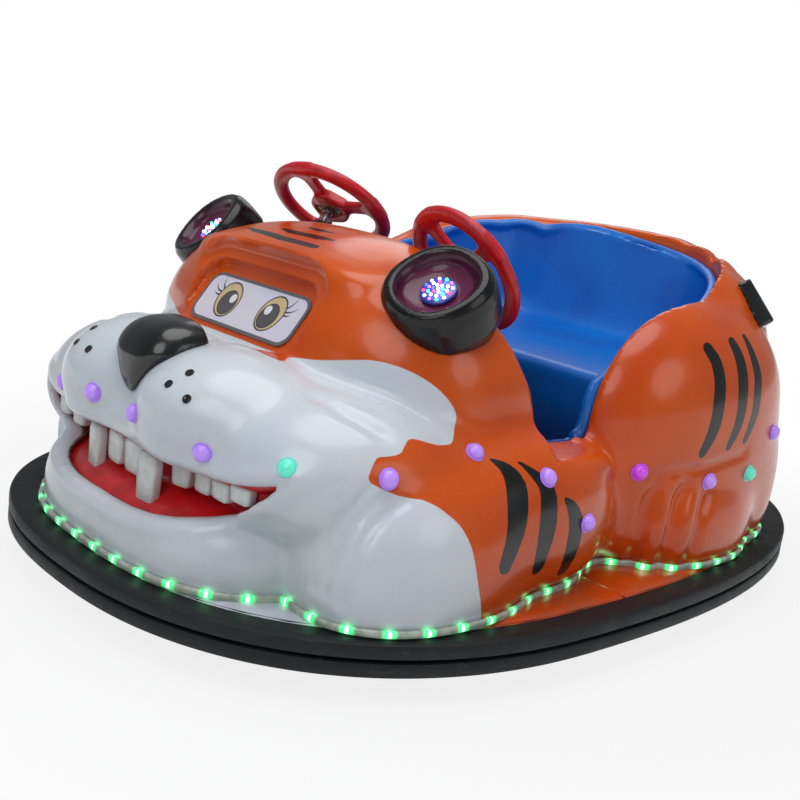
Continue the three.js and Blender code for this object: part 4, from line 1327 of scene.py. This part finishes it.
def makeBoot(word):
    # soft collar where the column goes through the hood
    one = steering["sets"][word]
    aim = np.array(one["aim"]) / np.linalg.norm(one["aim"])
    spot = np.array([one["hub"]]) - aim * 0.02
    for _ in range(60):
        gap = bodyField(spot)
        spot = spot - aim * np.clip(gap, -0.01, 0.01)[:, None] * 0.7
    profile = rounded([(0.0082, 0.006), (0.012, 0.006), (0.015, 0.002), (0.023, 0.0005), (0.025, -0.012),
                       (0.0082, -0.012)],
                      0.003)
    points, faces = turned(profile + [(0.0082, -0.012)], 32, True)
    out = 0.5 * aim + 0.5 * slopeOf(bodyField, spot)[0]
    makePiece(f"column_boot_{word}", placed(points, spot[0], out), faces, tyre, "car_body")


tyre = tyreFinish()
for word in ("left", "right"):
    makeSteeringWheel(word)
    makeBoot(word)


tail = {"centre": (0.392, 0.386, 0.576), "aim": (0.62, 0.2, -0.76), "half": 0.039, "length": 0.1,
        "cell": 0.0038}


def tailField(p):
    local = (p - np.array(tail["centre"])) @ aimTurn(tail["aim"])
    tube = softMax(roundedBox2(local[:, 0], local[:, 2], tail["half"], tail["half"], 0.015),
                   np.abs(local[:, 1]) - tail["length"] / 2, 0.008)
    hole = np.maximum(np.hypot(local[:, 0], local[:, 2]) - 0.016, -(local[:, 1] - 0.03))
    field = softMax(tube, -hole, 0.006)
    return softMax(field, -(bodyField(p) - 0.0006), 0.003)


centre = Vector(tail["centre"])
points, faces = surfaceOf(tailField, centre - Vector((0.1, 0.1, 0.1)), centre + Vector((0.1, 0.1, 0.1)),
                          tail["cell"])
makePiece("tail_tip", points, faces, finishes["blackGloss"], "car_body", ("tail_tip",), None,
          45)


def finishNodes():
    looks = {"bumper_band": "frame", "chassis_frame": "frame", "floor_pan": "sheet", "front_fork": "frame",
             "rear_axle": "frame", "battery_pack": "battery", "steering_column_left": "steel",
             "steering_column_right": "steel", "column_bearing_left": "steel",
             "column_bearing_right": "steel"}
    for name, look in looks.items():
        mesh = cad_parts[name].data
        mesh.materials.clear()
        mesh.materials.append(finishes[look])


finishNodes()


def makeWheel(tyreNode, hubNode, rides, radius, width, hubWidth, boreNodeRadius=0.0102):
    low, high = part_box(tyreNode)
    centre = (low + high) / 2
    half = width / 2
    hub = radius - (0.032 if radius > 0.095 else 0.03)
    groove = []
    for i in range(5):
        at = (i - 2) * width * 0.15
        groove += [(radius, at - 0.0024), (radius - 0.004, at - 0.0016), (radius - 0.004, at + 0.0016),
                   (radius, at + 0.0024)]
    profile = [(hub, -half + 0.006), (hub + 0.01, -half + 0.002), (radius - 0.014, -half),
               (radius - 0.004, -half + 0.006)]
    profile += groove + [(radius - 0.004, half - 0.006), (radius - 0.014, half), (hub + 0.01, half - 0.002),
                         (hub, half - 0.006)]
    points, faces = turned(profile, 72, True)
    makePiece(tyreNode, placed(points, centre, (1, 0, 0)), faces, tyre, rides, (tyreNode,), None, 35)
    side = hubWidth / 2
    shape = [(boreNodeRadius, side), (0.022, side), (0.025, side - 0.006), (hub * 0.62, side - 0.009),
             (hub * 0.7, side - 0.004), (hub - 0.006, side - 0.003), (hub - 0.0006, side - 0.006)]
    profile = shape + [(r, -h) for r, h in shape[::-1]]
    parts = [turned(profile, 64, True)]
    bolt = [(0.0001, side - 0.0005), (0.0035, side - 0.0005), (0.0035, side - 0.01), (0.0001, side - 0.01)]
    for end in (1, -1):
        for i in range(6):
            points, faces = turned(bolt, 6)
            points[:, 1] *= end
            turn = math.pi * i / 3
            reach = hub * 0.66
            moved = points + np.array([reach * math.cos(turn), 0, reach * math.sin(turn)])
            parts.append((moved, [face[::-1] for face in faces] if end < 0 else faces))
    points, faces = joined(parts)
    makePiece(hubNode, placed(points, centre, (1, 0, 0)), faces, finishes["steel"], rides,
              (hubNode,), None, 30)


wheels = {"front": (0.1, 0.06, 0.066), "rear": (0.09, 0.044, 0.048)}  # radius, tyre's width, hub's width
makeWheel("front_tyre", "front_hub_motor", "front_wheel", *wheels["front"])
for word in ("left", "right"):
    makeWheel(f"rear_tyre_{word}", f"rear_rim_{word}", f"rear_wheel_{word}", *wheels["rear"])


def makeStage():
    size = 30.0
    mesh = bpy.data.meshes.new("floor")
    mesh.from_pydata([(-size, -size, 0), (size, -size, 0), (size, size, 0), (-size, size, 0)], [],
                     [(0, 1, 2, 3)])
    floor = bpy.data.objects.new("floor", mesh)
    bpy.context.scene.collection.objects.link(floor)
    look = Finish("floor")
    base = look.node("ShaderNodeBsdfDiffuse", None, {"Color": (0.7, 0.7, 0.7, 1)})
    glow = look.node("ShaderNodeEmission", None, {"Color": (1, 1, 1, 1), "Strength": 1.0})
    away = look.node("ShaderNodeVectorMath", {"operation": "LENGTH"}, {0: look.position()}, out="Value")
    far = look.ease(away, 0.8, 1.9, 0.84, 1.0)
    direct, mirrored = look.node("ShaderNodeLightPath", None, None, ("Is Camera Ray", "Is Glossy Ray"))
    seen = (direct + mirrored).least(1.0)
    mesh.materials.append(look.finish(look.node("ShaderNodeMixShader", None,
                                                {0: far * seen, 1: base, 2: glow})))


def makeWorld():
    world = bpy.data.worlds.new("studio")
    bpy.context.scene.world = world
    look = Finish("studio", world)
    light = look.node("ShaderNodeBackground", None, {0: (0.93, 0.96, 1.0, 1), 1: 0.3})
    shown = look.node("ShaderNodeBackground", None, {0: (1, 1, 1, 1), 1: 1.0})
    direct = look.node("ShaderNodeLightPath", out="Is Camera Ray")
    look.finish(look.node("ShaderNodeMixShader", None, {0: direct, 1: light, 2: shown}),
                "ShaderNodeOutputWorld")


lamps = {  # place, size, watts
    "top": ((0.2, -0.4, 3.6), 3.0, 62.0),
    "key": ((1.2, -3.2, 2.6), 2.2, 30.0),
    "side": ((3.8, 0.6, 2.0), 2.0, 16.0),
    "back": ((-2.4, 2.6, 2.8), 2.4, 16.0),
}


def makeLamps():
    for name, (place, size, watts) in lamps.items():
        data = bpy.data.lights.new(name, "AREA")
        data.shape = "DISK"
        data.size = size
        data.energy = watts
        lamp = bpy.data.objects.new(name, data)
        bpy.context.scene.collection.objects.link(lamp)
        lamp.location = place
        lamp.rotation_euler = (Vector((0, 0, 0.3)) - Vector(place)).to_track_quat("-Z", "Y").to_euler()


makeStage()
makeWorld()
makeLamps()
bpy.context.scene.view_settings.view_transform = "Standard"
print("stage and lamps made")
